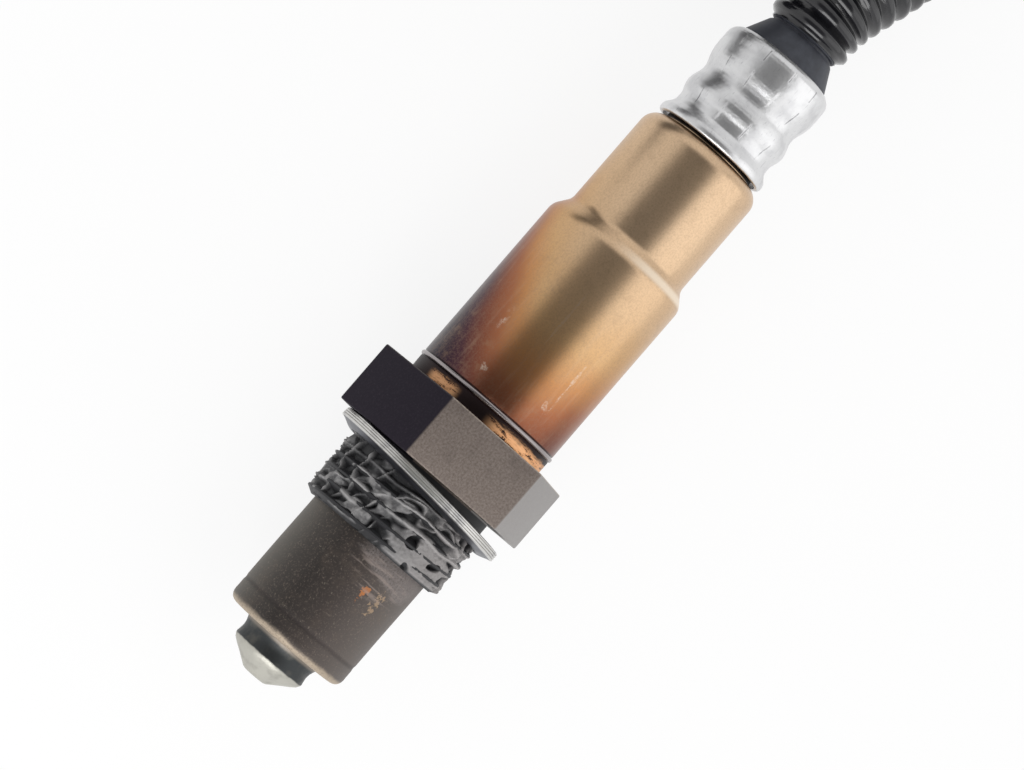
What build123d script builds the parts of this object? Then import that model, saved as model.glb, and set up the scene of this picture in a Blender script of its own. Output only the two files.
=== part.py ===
from build123d import *
import os
from math import cos, pi, radians, sin, tan

os.makedirs("parts", exist_ok=True)

# An exhaust oxygen sensor that lies on one flat of its hex, in millimetres.
# X runs along the sensor's axis, towards the cable. Z is up, and the floor is at minus half the hex's width.
# The origin is on the axis, at the hex end of the full thread.

# Thread, neck and hex of the housing
THREAD_DIAMETER = 17.94
THREAD_LENGTH = 5.7
THREAD_LEAD_IN = 0.5
RUNOUT_DIAMETER = 17.4
RUNOUT_LENGTH = 1.9
NECK_DIAMETER = 16.7
NECK_LENGTH = 1.5
HEX_ACROSS_FLATS = 22.0
HEX_HEIGHT = 7.5
HEX_EDGE_BREAK = 0.2
COLLAR_HEIGHT = 4.1
SPIGOT_LENGTH = 4.0
STACK_BORE_DIAMETER = 11.5
STACK_SEAT_DEPTH = 18.0
LOWER_BORE_DIAMETER = 7.0

# Sealing gasket, loose on the thread and tilted
GASKET_DIAMETER = 22.3
GASKET_BORE = 18.3
GASKET_THICKNESS = 1.55
GASKET_TILT = 4.3
GASKET_HEX_GAP = 0.04
GASKET_RIM_GROOVES = 3
GASKET_GROOVE_DEPTH = 0.16
GASKET_GROOVE_WIDTH = 0.22

# Protection tubes
OUTER_TUBE_DIAMETER = 15.05
OUTER_TUBE_LENGTH = 14.35
OUTER_TUBE_WALL = 0.4
OUTER_TUBE_CORNER = 0.68
RING_LINE_FROM_END = 2.7
RING_LINE_WIDTH = 0.4
RING_LINE_DEPTH = 0.08
INLET_COUNT = 8
INLET_DIAMETER = 1.2
NOSE_DIAMETER = 9.0
NOSE_WAIST_LENGTH = 2.3
NOSE_CONE_LENGTH = 2.4
NOSE_FLAT_DIAMETER = 2.8
NOSE_HOLE_DIAMETER = 1.6
NOSE_FLARE_DIAMETER = 9.5
NOSE_FLARE_LENGTH = 0.7
NOSE_WALL = 0.4
INNER_FLANGE_DIAMETER = 13.8
INNER_HOLE_COUNT = 6
INNER_HOLES_FROM_FLANGE = 2.4

# Sensing element and the stack that holds it
ELEMENT_WIDTH = 4.2
ELEMENT_THICKNESS = 1.2
ELEMENT_TIP_DEPTH = 4.9
ELEMENT_LENGTH = 53.5
ELEMENT_TIP_CHAMFER = 0.8
LOWER_BUSH_LENGTH = 5.0
POWDER_LENGTH = 4.0
UPPER_BUSH_LENGTH = 5.5
PRESS_RING_LENGTH = 1.5
PRESS_RING_BORE = 7.0

# Protective sleeve
SLEEVE_WALL = 0.8
SLEEVE_LOWER_DIAMETER = 17.72
SLEEVE_UPPER_DIAMETER = 15.17
SLEEVE_LOWER_LENGTH = 23.4
SHOULDER_LENGTH = 1.7
SLEEVE_UPPER_LENGTH = 10.8
SHOULDER_OUTER_RADIUS = 2.6
SHOULDER_INNER_RADIUS = 0.7
SLEEVE_END_LENGTH = 1.9
SLEEVE_NECK_LENGTH = 2.3
BEAD_FROM_FOOT = 2.3
BEAD_RADIUS = 0.32
BEAD_STANDS_OUT = 0.2

# Crimp collar
COLLAR_WALL = 0.6
COLLAR_GAP_TO_SLEEVE = 0.3
COLLAR_LENGTH = 12.2
COLLAR_LIP_RADIUS = 6.98
COLLAR_LIP_BREAK = 0.22
COLLAR_LIP_WIDTH = 0.7
COLLAR_GROOVE_RADIUS = 6.36
COLLAR_BULGE_RADIUS = 6.66
COLLAR_BAND_RADIUS = 6.72
COLLAR_RIM_RADIUS = 6.1
COLLAR_WAVE_RADIUS = 0.6
FIRST_GROOVE = 2.5
BULGE = 4.45
SECOND_GROOVE = 6.5
GROOVE_FLAT = 2.0
BAND_START = 9.1
RIM_LENGTH = 0.7
JAW_COUNT = 6
JAW_GAP_ANGLE = 30.0
JAW_GAP_TURN = 15.3
JAW_WIDTH = 1.5
JAW_BITE = 0.06

# Grommet
CONE_LENGTH = 2.9
CONE_END_DIAMETER = 8.3
SPIGOT_GROOVE_DEPTH = 0.25
SPIGOT_GROOVE_WIDTH = 0.35
CABLE_SPIGOT_DIAMETER = 8.4
CABLE_SPIGOT_LENGTH = 1.5

# Contact holder, its clamp ring, the contacts and the leads
HOLDER_TO_SHOULDER = 0.4
HOLDER_FLANGE_THICKNESS = 2.2
HOLDER_BODY_LENGTH = 8.8
HOLDER_FOOT_LENGTH = 5.0
HOLDER_FOOT_DIAMETER = 12.4
CLAMP_WIDTH = 3.0
CLAMP_THICKNESS = 0.6
CLAMP_OPENING_ANGLE = 40.0
STRIP_START = 0.7
STRIP_WIDTH = 1.0
STRIP_THICKNESS = 0.3
STRIP_LENGTH = 9.0
STRIP_RISE_LENGTH = 2.0
BARREL_DIAMETER = 1.3
BARREL_LENGTH = 4.0
LEAD_DIAMETER = 1.5
UPPER_LEADS = ((-2.2, 1.75), (0.0, 1.75), (2.2, 1.75))
LOWER_LEADS = ((-1.2, -1.85), (1.2, -1.85))

# Conduit, laid on the floor, with the points of its route
CONDUIT_DIAMETER = 10.0
FLOOR_AXIS = CONDUIT_DIAMETER / 2 - HEX_ACROSS_FLATS / 2
CONDUIT_ROUTE = (
    (65.6, 0.0, 0.0),
    (67.8, 0.0, 0.0),
    (70.9, -0.6, -0.1),
    (76.4, -2.6, -1.0),
    (84.0, -5.2, -3.5),
    (93.0, -6.2, FLOOR_AXIS),
    (104.0, -6.2, FLOOR_AXIS),
)
COIL_OUTER_TURN_RADIUS = 57.0
COIL_PITCH = 11.7
TAIL_ROUTE = (
    (104.0, 96.1, FLOOR_AXIS),
    (97.5, 96.1, FLOOR_AXIS),
    (86.4, 89.7, FLOOR_AXIS),
    (80.0, 78.6, FLOOR_AXIS),
    (80.0, 71.0, FLOOR_AXIS),
)
ARC_SHARE_OF_RUN = 0.95

# Connector on the conduit's far end
CAP_LENGTH = 8.0
CAP_WIDTH = 18.0
CAP_HEIGHT = 14.0
CAP_CORNER = 3.0
CAP_EDGE_BREAK = 1.0
BODY_LENGTH = 30.0
BODY_WIDTH = 21.0
BODY_HEIGHT = 16.5
BODY_CORNER = 2.5
SHROUD_DEPTH = 15.0
SHROUD_WALL = 1.8
SEAL_POCKET_DEPTH = 6.0
SEAL_POCKET_WALL = 2.4
SEAL_THICKNESS = 4.5
LOCK_THICKNESS = 2.0
LOCK_MARGIN = 1.0
BLADE_WIDTH = 1.5
BLADE_THICKNESS = 0.7
BLADE_REACH = 7.5
BLADE_LENGTH = 16.0
BLADE_TIP_CHAMFER = 0.17
BLADE_PITCH = 4.2
BLADE_ROW_PITCH = 4.6
LATCH_WIDTH = 6.0
LATCH_LENGTH = 5.0
LATCH_HEIGHT = 1.6
LATCH_FROM_MOUTH = 3.0
LATCH_RAMP = 1.3
GUIDE_RIB_WIDTH = 1.6
GUIDE_RIB_HEIGHT = 1.0
GUIDE_RIB_PITCH = 5.5

# Clearances
SLIP = 0.05
ELEMENT_PLAY = 0.05
CHANNEL_PLAY = 0.2

# Stations along the axis
floor_height = -HEX_ACROSS_FLATS / 2
thread_tip = -THREAD_LENGTH
spigot_tip = thread_tip - SPIGOT_LENGTH
hex_seat = RUNOUT_LENGTH + NECK_LENGTH
hex_top = hex_seat + HEX_HEIGHT
collar_top = hex_top + COLLAR_HEIGHT
tube_tip = thread_tip - OUTER_TUBE_LENGTH
nose_ridge = tube_tip - NOSE_WAIST_LENGTH
nose_tip = nose_ridge - NOSE_CONE_LENGTH
shoulder_start = hex_top + SLEEVE_LOWER_LENGTH
shoulder_end = shoulder_start + SHOULDER_LENGTH
upper_end = shoulder_end + SLEEVE_UPPER_LENGTH
turned_in = upper_end + SLEEVE_END_LENGTH
collar_start = turned_in + COLLAR_GAP_TO_SLEEVE
collar_end = collar_start + COLLAR_LENGTH
cone_end = collar_end + CONE_LENGTH
cable_exit = cone_end + CABLE_SPIGOT_LENGTH
neck_end = turned_in + SLEEVE_NECK_LENGTH

# Radii that fit one another
outer_tube_radius = OUTER_TUBE_DIAMETER / 2
outer_tube_bore = outer_tube_radius - OUTER_TUBE_WALL
nose_radius = NOSE_DIAMETER / 2
sleeve_lower_radius = SLEEVE_LOWER_DIAMETER / 2
sleeve_upper_radius = SLEEVE_UPPER_DIAMETER / 2
sleeve_lower_bore = sleeve_lower_radius - SLEEVE_WALL
sleeve_upper_bore = sleeve_upper_radius - SLEEVE_WALL
sleeve_neck_radius = COLLAR_GROOVE_RADIUS - COLLAR_WALL - SLIP
grommet_radius = sleeve_neck_radius
stack_radius = STACK_BORE_DIAMETER / 2 - SLIP
stack_seat = collar_top - STACK_SEAT_DEPTH


def save(piece, name):
    """Label a finished piece and write its file."""
    piece.part.label = name
    export_step(piece.part, f"parts/{name}.step")


def stack_ring(start, length, slot):
    """A plug of the stack in the housing's bore, with a slot for the element."""
    with BuildPart() as plug:
        with BuildSketch(Plane.YZ.offset(start)):
            Circle(stack_radius)
            Rectangle(slot[0], slot[1], mode=Mode.SUBTRACT)
        extrude(amount=length)
    return plug


# Housing: spigot, thread, neck, hex and collar in one piece
with BuildPart() as housing:
    with BuildSketch(Plane.YZ.offset(hex_seat)):
        RegularPolygon(HEX_ACROSS_FLATS / 2, 6, major_radius=False, rotation=0)
    extrude(amount=HEX_HEIGHT)
    chamfer(housing.edges().filter_by(Axis.X, reverse=True), HEX_EDGE_BREAK)
    with BuildSketch(Plane.XY):
        with BuildLine():
            Polyline(
                (spigot_tip, 0),
                (spigot_tip, outer_tube_bore - SLIP),
                (thread_tip, outer_tube_bore - SLIP),
                (thread_tip, THREAD_DIAMETER / 2 - THREAD_LEAD_IN),
                (thread_tip + THREAD_LEAD_IN, THREAD_DIAMETER / 2),
                (0, THREAD_DIAMETER / 2),
                (0, RUNOUT_DIAMETER / 2),
                (RUNOUT_LENGTH, RUNOUT_DIAMETER / 2),
                (RUNOUT_LENGTH, NECK_DIAMETER / 2),
                (hex_seat + HEX_HEIGHT / 2, NECK_DIAMETER / 2),
                (hex_seat + HEX_HEIGHT / 2, sleeve_lower_bore - SLIP),
                (collar_top, sleeve_lower_bore - SLIP),
                (collar_top, 0),
                close=True,
            )
        make_face()
    revolve(axis=Axis.X)
    with BuildSketch(Plane.YZ.offset(collar_top)):
        Circle(STACK_BORE_DIAMETER / 2)
    extrude(amount=-STACK_SEAT_DEPTH, mode=Mode.SUBTRACT)
    with BuildSketch(Plane.YZ.offset(spigot_tip)):
        Circle(LOWER_BORE_DIAMETER / 2)
    extrude(amount=stack_seat - spigot_tip, mode=Mode.SUBTRACT)
save(housing, "housing")

# Outer protection tube: drawn cup with a hole for the nose and a ring of gas inlets
with BuildPart() as outer_tube:
    with BuildSketch(Plane.XY):
        with BuildLine():
            FilletPolyline(
                (thread_tip - SLIP, outer_tube_radius),
                (tube_tip, outer_tube_radius),
                (tube_tip, nose_radius + SLIP),
                radius=OUTER_TUBE_CORNER,
            )
            Polyline(
                (tube_tip, nose_radius + SLIP),
                (tube_tip + OUTER_TUBE_WALL, nose_radius + SLIP),
                (tube_tip + OUTER_TUBE_WALL, outer_tube_bore),
                (thread_tip - SLIP, outer_tube_bore),
                (thread_tip - SLIP, outer_tube_radius),
            )
        make_face()
        with Locations((tube_tip + RING_LINE_FROM_END, outer_tube_radius)):
            Rectangle(RING_LINE_WIDTH, 2 * RING_LINE_DEPTH, mode=Mode.SUBTRACT)
    revolve(axis=Axis.X)
    with BuildSketch(Plane.YZ.offset(tube_tip)):
        with PolarLocations((nose_radius + outer_tube_bore) / 2, INLET_COUNT, start_angle=180 / INLET_COUNT):
            Circle(INLET_DIAMETER / 2)
    extrude(amount=OUTER_TUBE_WALL, mode=Mode.SUBTRACT)
save(outer_tube, "outer_protection_tube")

# Inner protection tube: the nose with its outlet hole, and a flange against the spigot
flange_radius = INNER_FLANGE_DIAMETER / 2
nose_bore = nose_radius - NOSE_WALL
with BuildPart() as inner_tube:
    with BuildSketch(Plane.XY):
        with BuildLine():
            Polyline(
                (nose_tip, NOSE_HOLE_DIAMETER / 2),
                (nose_tip, NOSE_FLAT_DIAMETER / 2),
                (nose_ridge, nose_radius),
                (tube_tip - NOSE_FLARE_LENGTH, nose_radius),
                (tube_tip, NOSE_FLARE_DIAMETER / 2),
                (tube_tip, nose_radius),
                (spigot_tip - NOSE_WALL, nose_radius),
                (spigot_tip - NOSE_WALL, flange_radius),
                (spigot_tip, flange_radius),
                (spigot_tip, nose_bore),
                (nose_ridge + NOSE_WALL / 2, nose_bore),
                (nose_tip + NOSE_WALL, NOSE_FLAT_DIAMETER / 2),
                (nose_tip + NOSE_WALL, NOSE_HOLE_DIAMETER / 2),
                close=True,
            )
        make_face()
    revolve(axis=Axis.X)
    for number in range(INNER_HOLE_COUNT):
        outwards = Vector(0, 1, 0).rotate(Axis.X, number * 360 / INNER_HOLE_COUNT)
        with BuildSketch(Plane(origin=(spigot_tip - INNER_HOLES_FROM_FLANGE, 0, 0), z_dir=outwards)):
            Circle(INLET_DIAMETER / 2)
        extrude(amount=nose_radius + NOSE_WALL, mode=Mode.SUBTRACT)
save(inner_tube, "inner_protection_tube")

# Sealing gasket: crush ring with grooves round its rim, tilted so that its side towards -Y stands off the hex
gasket_reach = GASKET_DIAMETER / 2 * sin(radians(GASKET_TILT)) + GASKET_THICKNESS / 2 * cos(radians(GASKET_TILT))
gasket_centre = hex_seat - GASKET_HEX_GAP - gasket_reach
gasket_play = (GASKET_BORE - THREAD_DIAMETER) / 2
gasket_lift = max(-gasket_play, min(gasket_play, GASKET_DIAMETER / 2 + floor_height))
gasket_wall = (GASKET_DIAMETER - GASKET_BORE) / 2
gasket_plane = Plane(
    origin=(gasket_centre, 0, gasket_lift),
    x_dir=(sin(radians(GASKET_TILT)), cos(radians(GASKET_TILT)), 0),
    z_dir=(cos(radians(GASKET_TILT)), -sin(radians(GASKET_TILT)), 0),
)
with BuildPart() as gasket:
    with BuildSketch(gasket_plane.offset(-GASKET_THICKNESS / 2)):
        Circle(GASKET_DIAMETER / 2)
        Circle(GASKET_BORE / 2, mode=Mode.SUBTRACT)
    extrude(amount=GASKET_THICKNESS)
    rounding = min(GASKET_THICKNESS, gasket_wall) / 4
    fillet(gasket.edges().filter_by(GeomType.CIRCLE).sort_by(SortBy.RADIUS)[-2:], rounding)
    groove_step = GASKET_THICKNESS / (2 * GASKET_RIM_GROOVES)
    for number in range(GASKET_RIM_GROOVES):
        level = (number - (GASKET_RIM_GROOVES - 1) / 2) * groove_step
        with BuildSketch(gasket_plane.offset(level - GASKET_GROOVE_WIDTH / 4)):
            Circle(GASKET_DIAMETER / 2 + 1)
            Circle(GASKET_DIAMETER / 2 - min(GASKET_GROOVE_DEPTH, gasket_wall / 4), mode=Mode.SUBTRACT)
        extrude(amount=GASKET_GROOVE_WIDTH / 2, mode=Mode.SUBTRACT)
save(gasket, "sealing_gasket")

# Sensing element: ceramic strip
element_start = tube_tip + ELEMENT_TIP_DEPTH - NOSE_WAIST_LENGTH
with BuildPart() as element:
    with BuildSketch(Plane.YZ.offset(element_start)):
        Rectangle(ELEMENT_WIDTH, ELEMENT_THICKNESS)
    extrude(amount=ELEMENT_LENGTH)
    chamfer(element.faces().sort_by(Axis.X)[0].edges().filter_by(Axis.Z), ELEMENT_TIP_CHAMFER)
save(element, "sensing_element")

# Stack in the housing: bush, powder, bush and press ring
element_slot = (ELEMENT_WIDTH + 2 * ELEMENT_PLAY, ELEMENT_THICKNESS + 2 * ELEMENT_PLAY)
lower_bush = stack_ring(stack_seat, LOWER_BUSH_LENGTH, element_slot)
save(lower_bush, "lower_ceramic_bush")

powder_start = stack_seat + LOWER_BUSH_LENGTH
powder = stack_ring(powder_start, POWDER_LENGTH, element_slot)
save(powder, "powder_packing")

upper_bush_start = powder_start + POWDER_LENGTH
upper_bush = stack_ring(upper_bush_start, UPPER_BUSH_LENGTH, element_slot)
save(upper_bush, "upper_ceramic_bush")

press_ring_start = upper_bush_start + UPPER_BUSH_LENGTH
with BuildPart() as press_ring:
    with BuildSketch(Plane.YZ.offset(press_ring_start)):
        Circle(stack_radius)
        Circle(PRESS_RING_BORE / 2, mode=Mode.SUBTRACT)
    extrude(amount=PRESS_RING_LENGTH)
save(press_ring, "press_ring")

# Protective sleeve: drawn shell with a shoulder, a turned-in end and a bead near its foot


def sleeve_contour(inset):
    """The line of the sleeve's wall, a distance inside its outer surface, from the foot to the neck's end."""
    lower = sleeve_lower_radius - inset
    upper = sleeve_upper_radius - inset
    neck = sleeve_neck_radius - inset
    FilletPolyline(
        (hex_top, lower),
        (shoulder_start, lower),
        (shoulder_end, upper),
        (upper_end, upper),
        radius=[SHOULDER_OUTER_RADIUS - inset, SHOULDER_INNER_RADIUS + inset],
    )
    EllipticalCenterArc((upper_end, neck), SLEEVE_END_LENGTH - inset, upper - neck, arc_size=90)
    Line((upper_end + SLEEVE_END_LENGTH - inset, neck), (neck_end, neck))


with BuildPart() as sleeve:
    with BuildSketch(Plane.XY):
        with BuildLine():
            sleeve_contour(0)
            sleeve_contour(SLEEVE_WALL)
            Line((hex_top, sleeve_lower_bore), (hex_top, sleeve_lower_radius))
            Line((neck_end, sleeve_neck_radius - SLEEVE_WALL), (neck_end, sleeve_neck_radius))
        make_face()
    revolve(axis=Axis.X)
    with BuildSketch(Plane.XY):
        with Locations((hex_top + BEAD_FROM_FOOT, sleeve_lower_radius + BEAD_STANDS_OUT - BEAD_RADIUS)):
            Circle(BEAD_RADIUS)
    revolve(axis=Axis.X)
save(sleeve, "protective_sleeve")

# Crimp collar: lipped ring squeezed in two grooves by six jaws, with its edge rolled in over the grommet
band_end = COLLAR_LENGTH - RIM_LENGTH


def collar_contour(inset):
    """The line of the collar's wall, a distance inside its outer surface, from the lip to the end of the band."""
    groove = COLLAR_GROOVE_RADIUS - inset
    FilletPolyline(
        (collar_start + COLLAR_LIP_BREAK, COLLAR_LIP_RADIUS - inset),
        (collar_start + COLLAR_LIP_WIDTH, COLLAR_LIP_RADIUS - inset),
        (collar_start + FIRST_GROOVE - GROOVE_FLAT / 2, groove),
        (collar_start + FIRST_GROOVE + GROOVE_FLAT / 2, groove),
        (collar_start + BULGE, COLLAR_BULGE_RADIUS - inset),
        (collar_start + SECOND_GROOVE - GROOVE_FLAT / 2, groove),
        (collar_start + SECOND_GROOVE + GROOVE_FLAT / 2, groove),
        (collar_start + BAND_START, COLLAR_BAND_RADIUS - inset),
        (collar_start + band_end, COLLAR_BAND_RADIUS - inset),
        radius=COLLAR_WAVE_RADIUS,
    )


seam_turn = 90 - 360 / JAW_COUNT - JAW_GAP_TURN
with BuildPart() as collar:
    with BuildSketch(Plane.XY.rotated((seam_turn, 0, 0))):
        with BuildLine():
            collar_contour(0)
            collar_contour(COLLAR_WALL)
            rim_inside = grommet_radius + SLIP
            Polyline(
                (collar_start + band_end, COLLAR_BAND_RADIUS),
                (collar_end, COLLAR_RIM_RADIUS),
                (collar_end, rim_inside),
                (collar_start + band_end, rim_inside),
                (collar_start + band_end, COLLAR_BAND_RADIUS - COLLAR_WALL),
            )
            Polyline(
                (collar_start + COLLAR_LIP_BREAK, COLLAR_LIP_RADIUS),
                (collar_start, COLLAR_LIP_RADIUS - COLLAR_LIP_BREAK),
                (collar_start, COLLAR_LIP_RADIUS - COLLAR_WALL),
                (collar_start + COLLAR_LIP_BREAK, COLLAR_LIP_RADIUS - COLLAR_WALL),
            )
        make_face()
    revolve(axis=Axis.X)
    jaw_marks = (
        (FIRST_GROOVE, COLLAR_GROOVE_RADIUS),
        (SECOND_GROOVE, COLLAR_GROOVE_RADIUS),
        ((BAND_START + band_end) / 2, COLLAR_BAND_RADIUS),
    )
    for mark, radius in jaw_marks:
        for number in range(JAW_COUNT):
            first_edge = JAW_GAP_ANGLE / 2 - JAW_GAP_TURN + number * 360 / JAW_COUNT
            with BuildSketch(Plane.XZ.rotated((first_edge, 0, 0))):
                with Locations((collar_start + mark, radius - JAW_BITE + JAW_WIDTH / 2)):
                    Rectangle(JAW_WIDTH, JAW_WIDTH)
            revolve(axis=Axis.X, revolution_arc=360 / JAW_COUNT - JAW_GAP_ANGLE, mode=Mode.SUBTRACT)
save(collar, "crimp_collar")

# Grommet: plug in the collar, cone, and a spigot for the conduit, with a hole for each lead
cone_end_radius = CONE_END_DIAMETER / 2
leads = UPPER_LEADS + LOWER_LEADS
with BuildPart() as grommet:
    with BuildSketch(Plane.XY):
        with BuildLine():
            Polyline(
                (neck_end + SLIP, 0),
                (neck_end + SLIP, grommet_radius),
                (collar_end, grommet_radius),
                (cone_end, cone_end_radius),
                (cone_end, cone_end_radius - SPIGOT_GROOVE_DEPTH),
                (cone_end + SPIGOT_GROOVE_WIDTH, cone_end_radius - SPIGOT_GROOVE_DEPTH),
                (cone_end + SPIGOT_GROOVE_WIDTH, CABLE_SPIGOT_DIAMETER / 2),
                (cable_exit, CABLE_SPIGOT_DIAMETER / 2),
                (cable_exit, 0),
                close=True,
            )
        make_face()
    revolve(axis=Axis.X)
    with BuildSketch(Plane.YZ.offset(neck_end)):
        with Locations(*leads):
            Circle(LEAD_DIAMETER / 2 + SLIP)
    extrude(amount=cable_exit - neck_end, mode=Mode.SUBTRACT)
save(grommet, "grommet")

# Contact holder: two ceramic halves with a slot for the element and a channel for each contact
flange_end = shoulder_start - HOLDER_TO_SHOULDER
flange_start = flange_end - HOLDER_FLANGE_THICKNESS
foot_start = flange_start - HOLDER_FOOT_LENGTH
holder_end = flange_end + HOLDER_BODY_LENGTH
element_end = element_start + ELEMENT_LENGTH
strip_start = foot_start + STRIP_START
strip_end = strip_start + STRIP_LENGTH
barrel_start = strip_end + STRIP_RISE_LENGTH
barrel_end = barrel_start + BARREL_LENGTH
channel_width = LEAD_DIAMETER + CHANNEL_PLAY
halves = (("upper", Keep.TOP, UPPER_LEADS), ("lower", Keep.BOTTOM, LOWER_LEADS))
for side, keep, half_leads in halves:
    with BuildPart() as holder:
        with BuildSketch(Plane.XY):
            with BuildLine():
                Polyline(
                    (foot_start, 0),
                    (foot_start, HOLDER_FOOT_DIAMETER / 2),
                    (flange_start, HOLDER_FOOT_DIAMETER / 2),
                    (flange_start, sleeve_lower_bore - CHANNEL_PLAY),
                    (flange_end, sleeve_lower_bore - CHANNEL_PLAY),
                    (flange_end, sleeve_upper_bore - CHANNEL_PLAY),
                    (holder_end, sleeve_upper_bore - CHANNEL_PLAY),
                    (holder_end, 0),
                    close=True,
                )
            make_face()
        revolve(axis=Axis.X)
        with BuildSketch(Plane.YZ.offset(foot_start)):
            Rectangle(*element_slot)
        extrude(amount=element_end + CHANNEL_PLAY - foot_start, mode=Mode.SUBTRACT)
        with BuildSketch(Plane.YZ.offset(foot_start)):
            for place, height in half_leads:
                depth = abs(height) + channel_width / 2
                with Locations((place, depth / 2 if height > 0 else -depth / 2)):
                    Rectangle(channel_width, depth)
        extrude(amount=holder_end - foot_start, mode=Mode.SUBTRACT)
        split(bisect_by=Plane.XY, keep=keep)
    save(holder, f"contact_holder_{side}")

# Clamp ring: open spring ring round the holder's foot
with BuildPart() as clamp:
    with BuildSketch(Plane.YZ.offset(flange_start - CLAMP_WIDTH - SLIP)):
        Circle(HOLDER_FOOT_DIAMETER / 2 + SLIP + CLAMP_THICKNESS)
        Circle(HOLDER_FOOT_DIAMETER / 2 + SLIP, mode=Mode.SUBTRACT)
        opening = HOLDER_FOOT_DIAMETER * sin(radians(CLAMP_OPENING_ANGLE / 2))
        with Locations((HOLDER_FOOT_DIAMETER / 2, 0)):
            Rectangle(HOLDER_FOOT_DIAMETER / 2, opening, mode=Mode.SUBTRACT)
    extrude(amount=CLAMP_WIDTH)
save(clamp, "clamp_ring")

# Contact springs with their crimp barrels, and the leads that run through the grommet
for number, (place, height) in enumerate(leads, start=1):
    upwards = 1 if height > 0 else -1
    near = upwards * (ELEMENT_THICKNESS / 2 + ELEMENT_PLAY / 2)
    far = near + upwards * STRIP_THICKNESS
    low = height - upwards * STRIP_THICKNESS / 2
    high = height + upwards * STRIP_THICKNESS / 2
    with BuildPart() as contact:
        with BuildSketch(Plane(origin=(0, place, 0), x_dir=(1, 0, 0), z_dir=(0, -1, 0))):
            Polygon(
                (strip_start, near),
                (strip_end, near),
                (barrel_start, low),
                (barrel_start, high),
                (strip_end, far),
                (strip_start, far),
                align=None,
            )
        extrude(amount=STRIP_WIDTH / 2, both=True)
        with BuildSketch(Plane.YZ.offset(barrel_start)):
            with Locations((place, height)):
                Circle(BARREL_DIAMETER / 2)
        extrude(amount=BARREL_LENGTH)
    save(contact, f"contact_spring_{number}")

    with BuildPart() as lead:
        with BuildSketch(Plane.YZ.offset(barrel_end)):
            with Locations((place, height)):
                Circle(LEAD_DIAMETER / 2)
        extrude(amount=cable_exit - barrel_end)
    save(lead, f"lead_wire_{number}")

# Conduit: plain tubes along its route and its tail, with the coil between them


def arc_radii(route):
    """The radius at each corner of a route: two arcs share a run, and the end runs have only one."""
    runs = [Vector(*after) - Vector(*before) for before, after in zip(route, route[1:])]
    free = [run.length / 2 for run in runs]
    free[0] = runs[0].length
    free[-1] = runs[-1].length
    corners = []
    for number in range(len(runs) - 1):
        half_turn = radians(runs[number].get_angle(runs[number + 1]) / 2)
        corners.append(ARC_SHARE_OF_RUN * min(free[number], free[number + 1]) / tan(half_turn))
    return corners


for name, route in (("conduit_tube", CONDUIT_ROUTE), ("conduit_tail", TAIL_ROUTE)):
    radii = arc_radii(route)
    with BuildPart() as tube:
        with BuildLine() as path:
            FilletPolyline(*route, radius=radii)
        with BuildSketch(Plane(origin=route[0], z_dir=Vector(*route[1]) - Vector(*route[0]))):
            Circle(CONDUIT_DIAMETER / 2)
        sweep()
    save(tube, name)
    length = path.wire().length
    share = tube.part.volume / (pi * CONDUIT_DIAMETER**2 / 4 * length)
    print(name, "radii", [round(radius, 1) for radius in radii])
    print(name, "length", round(length, 1), "volume share", round(share, 4))

coil_entry = Vector(*CONDUIT_ROUTE[-1])
entry_heading = (coil_entry - Vector(*CONDUIT_ROUTE[-2])).normalized()
inwards = entry_heading.rotate(Axis.Z, 90)
coil_centre = coil_entry + inwards * COIL_OUTER_TURN_RADIUS
second_centre = coil_centre + inwards * COIL_PITCH / 2
with BuildPart() as coil:
    with BuildSketch(Plane(origin=coil_centre, x_dir=-inwards, z_dir=(-inwards).cross(Vector(0, 0, 1)))):
        with Locations((COIL_OUTER_TURN_RADIUS - COIL_PITCH / 2, 0)):
            SlotCenterToCenter(COIL_PITCH, CONDUIT_DIAMETER)
    revolve(axis=Axis(coil_centre, (0, 0, 1)), revolution_arc=180)
    with BuildSketch(Plane(origin=second_centre, x_dir=inwards, z_dir=inwards.cross(Vector(0, 0, 1)))):
        with Locations((COIL_OUTER_TURN_RADIUS - COIL_PITCH / 2, 0)):
            Circle(CONDUIT_DIAMETER / 2)
    revolve(axis=Axis(second_centre, (0, 0, 1)), revolution_arc=180)
save(coil, "conduit_coil")
coil_length = pi * (3 * COIL_OUTER_TURN_RADIUS - 3 * COIL_PITCH / 2)
print("coil length", round(coil_length, 1))

# Connector: rear cap, seal, body with shroud and latch, lock plate and blades
connector_heading = (Vector(*TAIL_ROUTE[-1]) - Vector(*TAIL_ROUTE[-2])).normalized()
cable_end = Vector(*TAIL_ROUTE[-1])


def connector_plane(along, height):
    """A plane across the connector, a distance from the cable's end and a height above the floor."""
    place = cable_end + connector_heading * along
    level = Vector(place.X, place.Y, floor_height + height)
    return Plane(origin=level, x_dir=Vector(0, 0, 1).cross(connector_heading), z_dir=connector_heading)


body_middle = BODY_HEIGHT / 2
pocket_end = CAP_LENGTH + SEAL_POCKET_DEPTH
bulkhead_end = CAP_LENGTH + BODY_LENGTH - SHROUD_DEPTH
mouth = CAP_LENGTH + BODY_LENGTH
blade_end = bulkhead_end + BLADE_REACH
with BuildPart() as cap:
    with BuildSketch(connector_plane(0, CAP_HEIGHT / 2)):
        RectangleRounded(CAP_WIDTH, CAP_HEIGHT, CAP_CORNER)
    extrude(amount=CAP_LENGTH)
    rear_edges = cap.faces().sort_by(Axis((0, 0, 0), connector_heading))[0].edges()
    chamfer(rear_edges, CAP_EDGE_BREAK)
save(cap, "connector_cap")

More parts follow.
